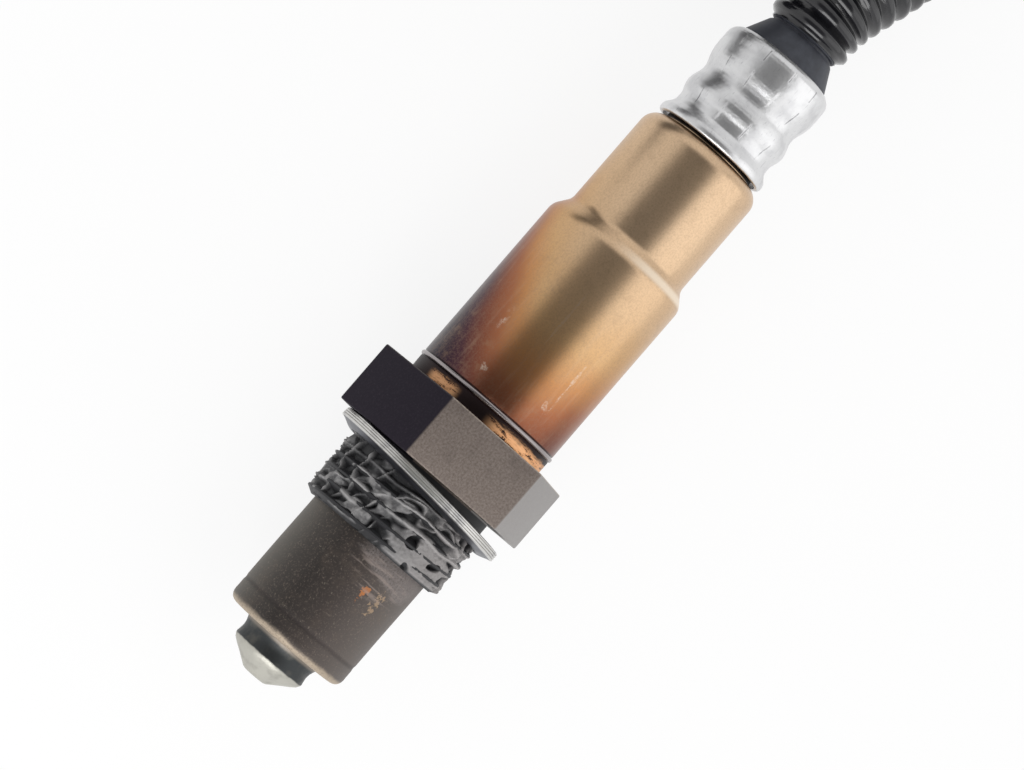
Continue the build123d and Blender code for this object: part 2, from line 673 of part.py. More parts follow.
with BuildPart() as body:
    with BuildSketch(connector_plane(CAP_LENGTH, body_middle)):
        RectangleRounded(BODY_WIDTH, BODY_HEIGHT, BODY_CORNER)
    extrude(amount=BODY_LENGTH)
    with BuildSketch(connector_plane(CAP_LENGTH, body_middle)):
        Rectangle(BODY_WIDTH - 2 * SEAL_POCKET_WALL, BODY_HEIGHT - 2 * SEAL_POCKET_WALL)
    extrude(amount=SEAL_POCKET_DEPTH, mode=Mode.SUBTRACT)
    with BuildSketch(connector_plane(mouth, body_middle)):
        RectangleRounded(BODY_WIDTH - 2 * SHROUD_WALL, BODY_HEIGHT - 2 * SHROUD_WALL, BODY_CORNER - SHROUD_WALL)
    extrude(amount=-SHROUD_DEPTH, mode=Mode.SUBTRACT)
    with BuildSketch(connector_plane(pocket_end, body_middle)):
        with GridLocations(BLADE_PITCH, BLADE_ROW_PITCH, 3, 2):
            Rectangle(BLADE_WIDTH + 2 * SLIP, BLADE_THICKNESS + 2 * SLIP)
    extrude(amount=bulkhead_end - pocket_end, mode=Mode.SUBTRACT)
    with BuildSketch(connector_plane(mouth - LATCH_LENGTH - LATCH_FROM_MOUTH, BODY_HEIGHT)):
        with Locations((0, LATCH_HEIGHT / 2 - SLIP)):
            Rectangle(LATCH_WIDTH, LATCH_HEIGHT + 2 * SLIP)
    extrude(amount=LATCH_LENGTH)
    latch_top = body.faces().sort_by(Axis.Z)[-1]
    chamfer(latch_top.edges().sort_by(Axis((0, 0, 0), connector_heading))[-1], LATCH_RAMP)
    with BuildSketch(connector_plane(CAP_LENGTH, body_middle)):
        with GridLocations(BODY_WIDTH, GUIDE_RIB_PITCH, 2, 2):
            Rectangle(2 * GUIDE_RIB_HEIGHT, GUIDE_RIB_WIDTH)
    extrude(amount=BODY_LENGTH - SHROUD_DEPTH)
save(body, "connector_body")

with BuildPart() as seal:
    with BuildSketch(connector_plane(pocket_end - SEAL_THICKNESS, body_middle)):
        Rectangle(
            BODY_WIDTH - 2 * SEAL_POCKET_WALL - 2 * SLIP,
            BODY_HEIGHT - 2 * SEAL_POCKET_WALL - 2 * SLIP,
        )
    extrude(amount=SEAL_THICKNESS - SLIP)
save(seal, "connector_wire_seal")

with BuildPart() as lock:
    with BuildSketch(connector_plane(bulkhead_end, body_middle)):
        Rectangle(
            BODY_WIDTH - 2 * SHROUD_WALL - 2 * LOCK_MARGIN,
            BODY_HEIGHT - 2 * SHROUD_WALL - 2 * LOCK_MARGIN,
        )
        with GridLocations(BLADE_PITCH, BLADE_ROW_PITCH, 3, 2):
            Rectangle(BLADE_WIDTH + 2 * SLIP, BLADE_THICKNESS + 2 * SLIP, mode=Mode.SUBTRACT)
    extrude(amount=LOCK_THICKNESS)
save(lock, "connector_lock_plate")

blade_places = [
    (column * BLADE_PITCH, row * BLADE_ROW_PITCH / 2) for row in (-1, 1) for column in (-1, 0, 1)
]
for number, place in enumerate(blade_places, start=1):
    with BuildPart() as blade:
        with BuildSketch(connector_plane(blade_end - BLADE_LENGTH, body_middle)):
            with Locations(place):
                Rectangle(BLADE_WIDTH, BLADE_THICKNESS)
        extrude(amount=BLADE_LENGTH)
        tip_edges = blade.faces().sort_by(Axis((0, 0, 0), connector_heading))[-1].edges()
        chamfer(tip_edges, BLADE_TIP_CHAMFER)
    save(blade, f"terminal_blade_{number}")
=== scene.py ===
from math import atan2, cos, hypot, pi, radians, sin

import bmesh
import bpy
from mathutils import Matrix, Vector, noise


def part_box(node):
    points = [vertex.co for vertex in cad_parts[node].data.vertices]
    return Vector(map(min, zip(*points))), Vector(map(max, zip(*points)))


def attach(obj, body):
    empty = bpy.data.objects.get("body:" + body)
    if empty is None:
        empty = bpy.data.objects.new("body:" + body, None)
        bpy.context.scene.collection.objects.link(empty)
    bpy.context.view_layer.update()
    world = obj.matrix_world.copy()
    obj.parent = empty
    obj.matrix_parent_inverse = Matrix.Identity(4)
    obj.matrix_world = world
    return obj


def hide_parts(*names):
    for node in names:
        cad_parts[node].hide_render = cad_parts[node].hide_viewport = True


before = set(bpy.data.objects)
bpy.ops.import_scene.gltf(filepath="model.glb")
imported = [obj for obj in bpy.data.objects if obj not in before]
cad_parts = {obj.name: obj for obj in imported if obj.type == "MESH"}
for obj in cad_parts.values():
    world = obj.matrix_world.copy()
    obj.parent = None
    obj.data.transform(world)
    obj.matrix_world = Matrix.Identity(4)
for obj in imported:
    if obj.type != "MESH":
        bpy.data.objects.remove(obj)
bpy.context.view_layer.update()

bl_info = {
    "name": "Used Oxygen Sensor",
    "version": (1, 0, 0),
    "blender": (4, 5, 0),
    "location": "View3D > Sidebar > Oxygen Sensor",
    "description": "Dresses a used exhaust oxygen sensor with its thread, paste, heat tint and conduit",
    "category": "Object",
}

# Lengths are in metres. The sensor's axis is X, towards the cable, and the floor is at the hex's lower flat.
MM = 0.001
FLOOR_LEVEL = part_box("housing")[0][2]

# Stations along the axis
NOSE_TIP = -24.75 * MM
NOSE_RIDGE = -22.35 * MM
TUBE_TIP = -20.05 * MM
SPIGOT_TIP = -9.7 * MM
THREAD_TIP = -5.7 * MM
PASTE_END = 1.9 * MM
HEX_SEAT = 3.4 * MM
HEX_TOP = 10.9 * MM
BEAD = 12.88 * MM
HOUSING_END = 15.0 * MM
SHOULDER_START = 33.8 * MM
SHOULDER_END = 35.55 * MM
UPPER_END = 46.8 * MM
TURNED_IN = 48.7 * MM
COLLAR_START = 49.0 * MM
SLEEVE_END = 51.0 * MM
GROMMET_START = 51.1 * MM
COLLAR_END = 61.2 * MM
CONE_END = 64.1 * MM
CABLE_EXIT = 65.6 * MM

# The thread's depth, the radius on which the paste's pattern is laid out, and the paste's inner radius
THREAD_DEPTH = 0.92 * MM
PATTERN_RADIUS = 8.9 * MM
PASTE_BORE = 7.5 * MM

# Where the crimping jaws marked the collar, in millimetres from its lip, and the angles of one jaw in degrees
COLLAR_MARKS = ((2.3, 4.2), (6.7, 8.7), (10.1, 11.6))
JAW_TURN = 60.0
JAW_EDGE = 15.2

# The direction of the camera round the axis, from straight up towards +Y
VIEW_TURN = radians(15.4)

# Where the thread's first crest starts, from straight up towards +Y
THREAD_TURN = radians(103.0)

# Steps round the axis for a turned piece, and for a turn of the thread
PLAIN_STEPS = 128
THREAD_STEPS = 72

# Points of the conduit's route in millimetres, as in the part's source
CONDUIT_ROUTE = (
    (65.6, 0.0, 0.0), (67.8, 0.0, 0.0), (70.9, -0.6, -0.1), (76.4, -2.6, -1.0), (84.0, -5.2, -3.5),
    (93.0, -6.2, -6.0), (104.0, -6.2, -6.0),
)
TAIL_ROUTE = (
    (104.0, 96.1, -6.0), (97.5, 96.1, -6.0), (86.4, 89.7, -6.0), (80.0, 78.6, -6.0), (80.0, 71.0, -6.0),
)
COIL_CENTRE = (104.0, 50.8)
COIL_RADIUS = 57.0
COIL_PITCH = 11.7
COIL_POINTS_A_TURN = 24

# How far the conduit grips back over the grommet, its radius there and its bare length at the far end
CONDUIT_GRIP = 0.95 * MM
CONDUIT_MOUTH = 4.22 * MM
CONDUIT_BARE_END = 0.7 * MM

# One ridge of the conduit: shares of its pitch, and of its height over the valley
RIDGE = ((0.06, 0.0), (0.2, 0.6), (0.34, 0.96), (0.5, 1.04), (0.66, 0.96), (0.8, 0.6), (0.94, 0.0))

# The camera that the photograph was taken with, in metres, as fitted to the object
CAMERA_PLACE = (-0.00438, 0.11468, 0.41742)
CAMERA_RIGHT = (0.65350539, -0.72066189, 0.23146736)
CAMERA_DOWN = (-0.75540909, -0.64028005, 0.13927874)
CAMERA_FORWARD = (0.04783106, -0.26587196, -0.96282101)
FOCAL_PIXELS = 4083.2
PICTURE_WIDTH = 1024
FILM_WIDTH = 36.0

# Each lamp's place, its side in metres and its power in watts. All of them point at the sensor's middle.
LAMPS = {
    "right_softbox": ((0.1, -0.75, 0.55), 1.1, 2.0),
    "nose_softbox": ((-0.38, 0.02, 0.24), 0.35, 1.3),
}
LAMP_AIM = (0.02, 0.0, 0.0)

# The share of the floor's tone that glows, the brightness of the room's wall and how much its gap lacks
FLOOR_GLOW = 0.86
WALL_LEVEL = 1.06
GAP_DEPTH = 0.86

# Finishes of the inner pieces and the connector: colour, metallic share, roughness, patch size, contrast and
# depth of the grain, then how the names of the pieces that wear it begin
PLAIN_FINISHES = {
    "stack_ceramic": (
        ((0.74, 0.72, 0.66), 0.0, 0.6),
        ("sensing_element", "lower_ceramic_bush", "upper_ceramic_bush", "contact_holder_"),
    ),
    "packing_powder": (((0.55, 0.55, 0.5), 0.0, 0.9, 0.6), ("powder_packing",)),
    "spring_steel": (((0.5, 0.48, 0.44), 1.0, 0.35), ("press_ring", "clamp_ring")),
    "contact_metal": (((0.62, 0.56, 0.45), 1.0, 0.3), ("contact_spring_", "terminal_blade_")),
    "lead_insulation": (((0.35, 0.35, 0.36), 0.0, 0.5), ("lead_wire_",)),
    "connector_plastic": (
        ((0.028, 0.028, 0.031), 0.0, 0.42, 3.0, 0.35, 0.02), ("connector_cap", "connector_body")),
    "lock_plastic": (((0.2, 0.21, 0.24), 0.0, 0.45), ("connector_lock_plate",)),
    "seal_silicone": (((0.33, 0.11, 0.05), 0.0, 0.5), ("connector_wire_seal",)),
}


def math_method(operation, swapped=False):
    """A method that joins a value and another term with a Math node."""

    def method(self, other=None):
        terms = (other, self) if swapped else (self, other)
        return self.joined(operation, *terms)

    return method


class Value:
    """A number that varies over a surface, which takes part in sums as a plain number does."""

    def __init__(self, tree, socket):
        self.tree = tree
        self.socket = socket

    def joined(self, operation, first, second):
        terms = {number: term for number, term in enumerate((first, second)) if term is not None}
        return Nodes(self.tree).node("ShaderNodeMath", {"operation": operation}, terms)

    __add__ = math_method("ADD")
    __radd__ = math_method("ADD", True)
    __sub__ = math_method("SUBTRACT")
    __rsub__ = math_method("SUBTRACT", True)
    __mul__ = math_method("MULTIPLY")
    __rmul__ = math_method("MULTIPLY", True)
    __truediv__ = math_method("DIVIDE")
    __pow__ = math_method("POWER")
    __abs__ = math_method("ABSOLUTE")
    least = math_method("MINIMUM")
    most = math_method("MAXIMUM")
    modulo = math_method("MODULO")

    def degrees(self, other):
        """The angle in degrees whose sine is as this value and whose cosine is as another."""
        return self.joined("ARCTAN2", self, other) * (180 / pi)


class Nodes:
    """A node tree, and the calls that add to it."""

    def __init__(self, tree):
        self.tree = tree

    def fill(self, node, sockets):
        """Link or set the sockets of a node."""
        for name, value in sockets.items():
            if isinstance(value, Value):
                self.tree.links.new(value.socket, node.inputs[name])
            else:
                node.inputs[name].default_value = value

    def node(self, kind, settings=None, sockets=None, output=0):
        """Add a node: its settings first, then the values or links of its sockets."""
        node = self.tree.nodes.new(kind)
        for name, setting in (settings or {}).items():
            if name == "stops":
                self.set_stops(node.color_ramp, setting)
            else:
                setattr(node, name, setting)
        self.fill(node, sockets or {})
        return Value(self.tree, node.outputs[output])

    def set_stops(self, ramp, stops):
        while len(ramp.elements) > 1:
            ramp.elements.remove(ramp.elements[-1])
        for number, (position, color) in enumerate(stops):
            element = ramp.elements[0] if number == 0 else ramp.elements.new(position)
            element.position = position
            element.color = (*color, 1.0)

    def step(self, value, low, high):
        """0 where a value is under low and 1 where it is over high, smooth between them."""
        sockets = {"Value": value, "From Min": low, "From Max": high}
        return self.node("ShaderNodeMapRange", {"interpolation_type": "SMOOTHSTEP"}, sockets)


class Finish(Nodes):
    """A material with a principled shader, whose color is set first and then laid over in coats."""

    def __init__(self, name, metallic=0.0):
        self.material = bpy.data.materials.new(name)
        self.material.use_nodes = True
        super().__init__(self.material.node_tree)
        self.shader = self.tree.nodes["Principled BSDF"]
        self.shader.inputs["Metallic"].default_value = metallic
        sockets = {0: self.node("ShaderNodeTexCoord", output="Object"), "Scale": 1 / MM}
        self.place = self.node("ShaderNodeVectorMath", {"operation": "SCALE"}, sockets, "Vector")
        self.x, self.y, self.z = (
            self.node("ShaderNodeSeparateXYZ", {}, {0: self.place}, axis) for axis in "XYZ")

    def turn(self):
        """The angle round the sensor's axis, in degrees from the camera's side, positive towards +Y."""
        return self.y.degrees(self.z) - VIEW_TURN * 180 / pi

    def outwards(self):
        """The distance from the sensor's axis, in millimetres."""
        return (self.y * self.y + self.z * self.z) ** 0.5

    def grain(self, size, detail=3.0, roughness=0.55, place=None):
        """A cloudy pattern from 0 to 1, with patches of a size in millimetres."""
        sockets = {"Vector": place or self.place, "Scale": 1 / size, "Detail": detail, "Roughness": roughness}
        return self.node("ShaderNodeTexNoise", {"noise_dimensions": "3D"}, sockets)

    def stretched(self, along, across, turned=(0.0, 0.0, 0.0)):
        """The place with its X and its other axes divided by a length each, to draw a pattern out."""
        sockets = {"Vector": self.place, "Rotation": turned, "Scale": (1 / along, 1 / across, 1 / across)}
        return self.node("ShaderNodeMapping", {}, sockets)

    def ring(self, x, inside, outside):
        """1 up to a distance on both sides of a station and 0 past a larger one, all in millimetres."""
        return 1 - self.step(abs(self.x - x), inside, outside)

    def ramp(self, value, *stops):
        return self.node("ShaderNodeValToRGB", {"stops": stops}, {"Fac": value}, "Color")

    def mix(self, mask, first, second):
        """One colour where the mask is 0 and another where it is 1."""
        sockets = {0: mask}
        for number, color in ((6, first), (7, second)):
            sockets[number] = color if isinstance(color, Value) else (*color, 1.0)
        return self.node("ShaderNodeMix", {"data_type": "RGBA"}, sockets, 2)

    def lay(self, mask, tone):
        """Cover the colour so far with a tone where the mask is 1."""
        self.color = self.mix(mask, self.color, tone)

    def spot(self, x, turn, length, width, ragged, grain):
        """A ragged patch on the sensor's side: its middle's x and angle in degrees, and its half sizes."""
        along = (self.x - x) / length
        across = (self.turn() - turn) / width
        far = (along * along + across * across) ** 0.5 + (grain - 0.5) * ragged
        return 1 - self.step(far, 0.6, 1.0)

    def bump(self, height, distance, before=None):
        """A bump from a height of 0 to 1 times a distance in millimetres."""
        sockets = {"Height": height, "Distance": distance * MM, "Strength": 1.0}
        if before is not None:
            sockets["Normal"] = before
        return self.node("ShaderNodeBump", {}, sockets, "Normal")

    def feed(self, **values):
        """Link or set the shader's sockets. Two underscores in a name stand for a space."""
        self.fill(self.shader, {name.replace("__", " "): value for name, value in values.items()})
        return self.material

    def done(self, roughness, height, **others):
        """Give the shader the colour with a roughness and a bump, and give the material back."""
        return self.feed(Base__Color=self.color, Roughness=roughness, Normal=height, **others)


def hex_steel():
    """Oxidised hex, brown on top, with painted shade that makes the face towards +Y near-black and painted
    light that makes the face on the other side pale grey.
    """
    look = Finish("hex_steel", 0.85)
    clouds = look.grain(3.0)
    fine = look.grain(0.25, 4.0, 0.7)
    turn = look.turn() + (fine - 0.5) * 1.2
    # Painted shade on the face towards +Y and painted light on the face on the other side, each starting at a
    # corner of the hex
    painted_shade_face = look.step(turn, 13.9, 15.3)
    painted_light_face = look.step(turn * -1, 44.7, 46.1)
    look.color = look.mix(look.step(fine, 0.3, 0.7), (0.15, 0.122, 0.106), (0.26, 0.218, 0.194))
    look.lay(look.step(clouds, 0.5, 0.8) * 0.4, (0.1, 0.08, 0.072))
    # Painted light: the face on the other side made pale grey
    look.lay(painted_light_face, look.mix(fine, (0.23, 0.215, 0.21), (0.4, 0.385, 0.375)))
    # Painted shade: the face towards +Y made near-black
    painted_shade_tone = look.mix(look.step(fine, 0.45, 0.75) * 0.5, (0.014, 0.01, 0.018), (0.04, 0.032, 0.044))
    look.lay(painted_shade_face, painted_shade_tone)
    # The pale edge is mostly left off the face with painted shade
    edge = look.step(look.x, 10.72, 10.86) * look.step(fine, 0.2, 0.6) * (1 - painted_shade_face * 0.8)
    look.lay(edge * 0.8, (0.5, 0.44, 0.38))
    neck = 1 - look.step(look.x, 3.15, 3.35)
    look.lay(neck, (0.018, 0.018, 0.02))
    return look.done(0.46 + fine * 0.22, look.bump(fine, 0.012), Metallic=0.75 - neck * 0.7)


def paste_finish():
    """Dried assembly paste: dark grey, with a painted highlight on its ridges and painted shade in its
    hollows.
    """
    look = Finish("dried_paste", 0.0)
    outwards = look.outwards()
    fine = look.grain(0.3, 5.0, 0.7)
    clouds = look.grain(2.2, 3.0)
    # Painted highlight and painted shade: the colour runs from near-black in the deepest hollows to light
    # grey on the highest crests
    look.color = look.ramp(
        look.step(outwards + (fine - 0.5) * 0.35, 7.9, 9.2),
        (0.0, (0.008, 0.008, 0.009)), (0.45, (0.03, 0.03, 0.032)), (0.78, (0.105, 0.103, 0.105)),
        (1.0, (0.3, 0.292, 0.29)),
    )
    warm = look.step(look.turn() * -1, -5.0, 50.0) * look.step(outwards, 8.5, 8.95)
    look.lay(warm * (0.45 + clouds * 0.35), (0.285, 0.265, 0.258))
    return look.done(0.55 + clouds * 0.25, look.bump(fine, 0.07))


def tube_steel():
    """Sooted protection tube, with painted shade across its middle: worn pale at its end, with rust spots and
    a smear of paste near the thread.
    """
    look = Finish("sooted_tube", 0.6)
    fine = look.grain(0.22, 4.0, 0.7)
    clouds = look.grain(2.6, 4.0, 0.6)
    streaks = look.grain(1.0, 3.0, 0.6, look.stretched(1.6, 5.0))
    # Painted shade: darker across the middle, which faces the camera, and lighter towards both sides
    look.color = look.ramp(
        look.step(look.turn() * -1, -85.0, 80.0),
        (0.0, (0.135, 0.125, 0.11)), (0.18, (0.062, 0.055, 0.05)), (0.35, (0.04, 0.034, 0.031)),
        (0.6, (0.066, 0.054, 0.049)), (0.85, (0.105, 0.089, 0.081)), (1.0, (0.145, 0.128, 0.118)),
    )
    look.lay(look.step(clouds, 0.5, 0.8) * 0.35, (0.15, 0.115, 0.09))
    look.lay(look.step(fine, 0.5, 0.75) * 0.55, (0.25, 0.2, 0.165))
    look.lay(look.step(look.grain(0.45, 3.0, 0.7), 0.62, 0.74) * 0.35, (0.36, 0.31, 0.25))
    rim = look.step(fine, 0.15, 0.55) * (1 - look.step(look.x + (streaks - 0.5) * 1.2, -19.75, -19.15))
    look.lay(rim * 0.85, (0.46, 0.38, 0.29))
    line = 1 - look.step(abs(look.x + 17.35 + (clouds - 0.5) * 0.2), 0.05, 0.4)
    look.lay(line * 0.45, (0.035, 0.028, 0.028))
    torn = look.grain(0.55, 3.0, 0.65)
    look.lay(look.spot(-10.7, -24.0, 1.0, 3.2, 5.5, torn), (0.42, 0.17, 0.065))
    look.lay(look.spot(-10.4, -39.0, 1.1, 4.0, 6.5, torn) * 0.8, (0.36, 0.26, 0.17))
    smear = look.spot(-6.3, -42.0, 3.6, 46.0, 1.2, streaks) * look.step(fine, 0.25, 0.6)
    look.lay(smear * 0.7, (0.215, 0.188, 0.18))
    swipes = look.step(look.grain(0.5, 2.0, 0.5, look.stretched(0.7, 6.0, (0.0, 0.0, 0.3))), 0.5, 0.72)
    look.lay(look.spot(-8.5, -30.0, 2.6, 40.0, 0.7, clouds) * swipes * 0.55, (0.33, 0.27, 0.24))
    rough = 0.5 + fine * 0.2 + smear * 0.15
    return look.done(rough, look.bump(fine, 0.014), Metallic=0.65 - smear * 0.5)


def nose_steel():
    """Inner tube's nose: dark blue-grey waist and a dull, pale cone."""
    look = Finish("nose_metal", 0.75)
    fine = look.grain(0.3, 4.0, 0.65)
    clouds = look.grain(1.6)
    cone = 1 - look.step(look.x + (clouds - 0.5) * 0.3, -22.45, -22.25)
    look.color = look.mix(cone, (0.046, 0.05, 0.052), (0.44, 0.43, 0.385))
    look.lay(look.step(clouds, 0.45, 0.75) * 0.4, (0.16, 0.15, 0.13))
    look.lay(look.step(look.x, -20.6, -20.2) * 0.55, (0.33, 0.28, 0.23))
    return look.done(0.38 + fine * 0.2, look.bump(fine, 0.01))


def gasket_steel():
    """Bright crush ring, dull and bluish on the face towards the nose."""
    look = Finish("gasket_metal", 1.0)
    fine = look.grain(0.3, 4.0, 0.6)
    clouds = look.grain(2.0)
    rim = look.step(look.outwards(), 10.75, 11.0)
    look.color = look.mix(rim, (0.085, 0.088, 0.105), (0.6, 0.59, 0.57))
    look.lay(look.step(clouds, 0.5, 0.75) * 0.5, (0.13, 0.13, 0.15))
    return look.done(0.28 + clouds * 0.18, look.bump(fine, 0.01))


def sleeve_steel():
    """Heat-tinted sleeve: purple and copper by the hex, then gold, then pale bronze, with scuffs, a painted
    highlight on the shoulder and painted shade at the turned-in end.
    """
    look = Finish("heat_tinted_sleeve", 1.0)
    clouds = look.grain(5.0, 3.0, 0.5)
    patches = look.grain(1.3, 4.0, 0.6)
    fine = look.grain(0.21, 4.0, 0.75)
    turn = look.turn()
    left = look.step(turn, 0.0, 70.0)
    edge = look.step(turn, 50.0, 82.0)
    right = look.step(turn * -1, 20.0, 80.0)
    warmth = look.x + (clouds - 0.5) * 3.5 - left * 11.5 - edge * 5.0 - right * 3.0
    look.color = look.ramp(
        look.step(warmth, 0.0, 40.0),
        (0.0, (0.016, 0.012, 0.024)), (0.1, (0.06, 0.024, 0.034)), (0.22, (0.205, 0.07, 0.042)),
        (0.33, (0.33, 0.122, 0.058)), (0.46, (0.5, 0.24, 0.098)), (0.62, (0.59, 0.365, 0.18)),
        (0.8, (0.63, 0.43, 0.255)), (1.0, (0.67, 0.48, 0.31)),
    )
    look.lay(look.step(fine, 0.38, 0.72) * 0.32, (0.26, 0.17, 0.12))
    look.lay(look.step(patches, 0.52, 0.75) * 0.22, (0.36, 0.24, 0.15))
    drawn = look.grain(1.0, 3.0, 0.6, look.stretched(6.0, 0.7))
    look.lay(look.step(drawn, 0.5, 0.75) * 0.1, (0.62, 0.46, 0.33))
    # Painted highlight: a near-white band along the shoulder, on the side towards -Y
    shoulder_highlight = look.ring(34.35, 0.15, 0.7) * look.step(turn * -1, -12.0, 30.0)
    look.lay(shoulder_highlight * 0.65, (1.0, 0.88, 0.72))
    # Painted shade: the turned-in end, in the narrow gap under the collar, made near-black
    look.lay(look.step(look.x, 48.72, 48.8), (0.02, 0.015, 0.012))
    foot = 1 - look.step(look.x, 12.5, 12.6)
    streaks = look.grain(1.0, 4.0, 0.6, look.stretched(0.35, 2.2))
    first = look.step(turn, 18.0, 26.0) * (1 - look.step(turn, 44.0, 54.0))
    second = look.step(turn * -1, 2.0, 16.0)
    near_hex = 1 - look.step(look.x + (streaks - 0.5) * 1.4, 11.7, 12.3)
    copper = (first * 0.7 + second).least(1.0) * near_hex
    copper = copper * look.step(streaks + (fine - 0.5) * 0.6, 0.32, 0.5)
    bright = look.mix(streaks, (0.6, 0.24, 0.09), (1.0, 0.62, 0.34))
    burnt = look.mix(copper, (0.026, 0.018, 0.018), bright)
    look.lay(foot, burnt)
    bead = look.ring(BEAD / MM, 0.22, 0.3)
    look.lay(bead, (0.32, 0.29, 0.29))
    lines = look.ring(BEAD / MM - 0.36, 0.04, 0.13)
    lines = lines.most(look.ring(BEAD / MM + 0.36, 0.03, 0.12))
    look.lay(lines * 0.85, (0.02, 0.012, 0.014))
    scuff = look.spot(20.0, -36.0, 3.6, 1.4, 3.0, patches)
    for mark in (
        look.spot(15.4, 19.5, 0.7, 3.5, 3.5, patches),
        look.spot(16.6, -31.0, 0.8, 3.6, 3.5, patches) * 0.7,
        look.spot(20.8, 31.0, 1.6, 3.0, 4.0, fine) * look.step(patches, 0.45, 0.6),
        look.spot(25.0, -2.0, 5.5, 1.0, 2.5, patches) * 0.45,
    ):
        scuff = scuff.most(mark)
    look.lay(scuff * look.step(fine, 0.35, 0.65) * 0.6, (0.68, 0.56, 0.46))
    return look.done(0.27 + fine * 0.1 + foot * 0.16 - bead * 0.05, look.bump(fine, 0.008))


def collar_steel():
    """Bright crimped collar with small stains and scratches."""
    look = Finish("collar_metal", 1.0)
    clouds = look.grain(2.4, 4.0, 0.6)
    fine = look.grain(0.3, 5.0, 0.7)
    scratches = look.grain(0.35, 2.0, 0.5, look.stretched(3.5, 0.5, (0.25, 0.0, 0.2)))
    look.color = look.mix(look.step(clouds, 0.42, 0.72), (0.72, 0.72, 0.725), (0.6, 0.6, 0.61))
    look.lay(look.step(scratches, 0.62, 0.74) * 0.5, (0.42, 0.42, 0.43))
    from_gap = abs((look.turn() + 390).modulo(JAW_TURN) - JAW_TURN / 2)
    edges = 1 - look.step(abs(from_gap - JAW_EDGE), 0.35, 0.85)
    rows = []
    for start, end in COLLAR_MARKS:
        half = (end - start) / 2
        rows.append(look.ring(COLLAR_START / MM + start + half, half - 0.1, half))
    marked = rows[0].most(rows[1]).most(rows[2])
    broken = look.step(clouds, 0.38, 0.62)
    look.lay(edges * marked * broken * 0.7, (0.1, 0.1, 0.105))
    return look.done(0.27 + clouds * 0.14, look.bump(clouds, 0.04, look.bump(fine, 0.014)))


def grommet_rubber():
    """Dark blue-grey rubber with a dusty bloom."""
    look = Finish("grommet_rubber", 0.0)
    clouds = look.grain(1.8, 4.0, 0.6)
    fine = look.grain(0.2, 4.0, 0.7)
    look.color = look.mix(look.step(clouds, 0.35, 0.75), (0.03, 0.033, 0.044), (0.055, 0.06, 0.076))
    look.lay(look.step(fine, 0.72, 0.8) * 0.4, (0.3, 0.28, 0.26))
    return look.done(0.45 + clouds * 0.2, look.bump(fine, 0.01))


def plain_finish(name, color, metallic, roughness, patch=2.0, contrast=0.3, depth=0.008):
    """A finish of one colour with a fine grain, soft clouds of a lighter tone and a slight bump."""
    look = Finish(name, metallic)
    clouds = look.grain(patch, 4.0, 0.6)
    fine = look.grain(patch / 8, 3.0, 0.7)
    light = tuple(min(1.0, channel * (1 + contrast) + 0.01 * contrast) for channel in color)
    dark = tuple(channel * (1 - contrast) for channel in color)
    look.color = look.mix(clouds, dark, light)
    return look.done(roughness + (clouds - 0.5) * 0.15, look.bump(fine, depth))


def profile(mesh, points, closed):
    """Make a profile's corners and edges from points of (along, radius)."""
    corners = [mesh.verts.new((along, 0.0, radius)) for along, radius in points]
    ends = corners[1:] + corners[:1] if closed else corners[1:]
    return corners + [mesh.edges.new(pair) for pair in zip(corners, ends)]


def spin(mesh, geometry, angle, steps, rise=0.0, merge=False):
    """Turn a profile about the sensor's axis, with a rise along it at each step."""
    bmesh.ops.spin(
        mesh, geom=geometry, cent=(0, 0, 0), axis=(1, 0, 0), dvec=(rise, 0, 0), angle=angle, steps=steps,
        use_merge=merge, use_duplicate=False,
    )


def lathe(points, steps):
    """A closed ring or solid turned about the sensor's axis, from points of (along, radius)."""
    mesh = bmesh.new()
    geometry = profile(mesh, points, points[0][1] > 0 or points[-1][1] > 0)
    spin(mesh, geometry, 2 * pi, steps, merge=True)
    bmesh.ops.remove_doubles(mesh, verts=mesh.verts, dist=1e-7)
    bmesh.ops.recalc_face_normals(mesh, faces=mesh.faces)
    return mesh


def beside(station, *pairs):
    """Points of a profile, from their distances to a station and their radii in millimetres."""
    return [(station + along * MM, radius * MM) for along, radius in pairs]


def arc(along, height, radius, start, end, count):
    """Points of an arc in a profile: angles in degrees from the +X direction towards a growing radius."""
    angles = [radians(start + (end - start) * number / count) for number in range(count + 1)]
    return [(along + radius * cos(angle), height + radius * sin(angle)) for angle in angles]


def dense(points, spacing):
    """The same profile with its long stretches divided."""
    result = [points[0]]
    for start, end in zip(points, points[1:]):
        pieces = max(1, round(hypot(end[0] - start[0], end[1] - start[1]) / spacing))
        for number in range(1, pieces + 1):
            share = number / pieces
            result.append((start[0] + (end[0] - start[0]) * share, start[1] + (end[1] - start[1]) * share))
    return result


def add_object(name, data):
    item = bpy.data.objects.new(name, data)
    bpy.context.collection.objects.link(item)
    return item


def mesh_object(mesh, name, material):
    """Make an object of a mesh and a material."""
    data = bpy.data.meshes.new(name)
    mesh.to_mesh(data)
    mesh.free()
    data.materials.append(material)
    return add_object(name, data)


def finish_piece(mesh, name, material, nodes=(), sharp=32.0):
    """Make a piece of a mesh, smooth it up to an angle, hang it on the root body and hide the model's parts
    that it stands for.
    """
    piece = mesh_object(mesh, name, material)
    piece.data.shade_smooth()
    piece.data.set_sharp_from_angle(angle=radians(sharp))
    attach(piece, "root")
    if nodes:
        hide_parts(*nodes)
    return piece


def turn_of(place):
    """The angle of a place round the axis, in degrees from the camera's side, positive towards +Y."""
    angle = atan2(place.y, place.z) - VIEW_TURN
    return (angle * 180 / pi + 180) % 360 - 180


def waver(place, along, across):
    """Noise at a place, with how quickly it varies along the sensor's axis and across it."""
    return noise.noise(Vector((place.x * along, place.y * across, place.z * across)))


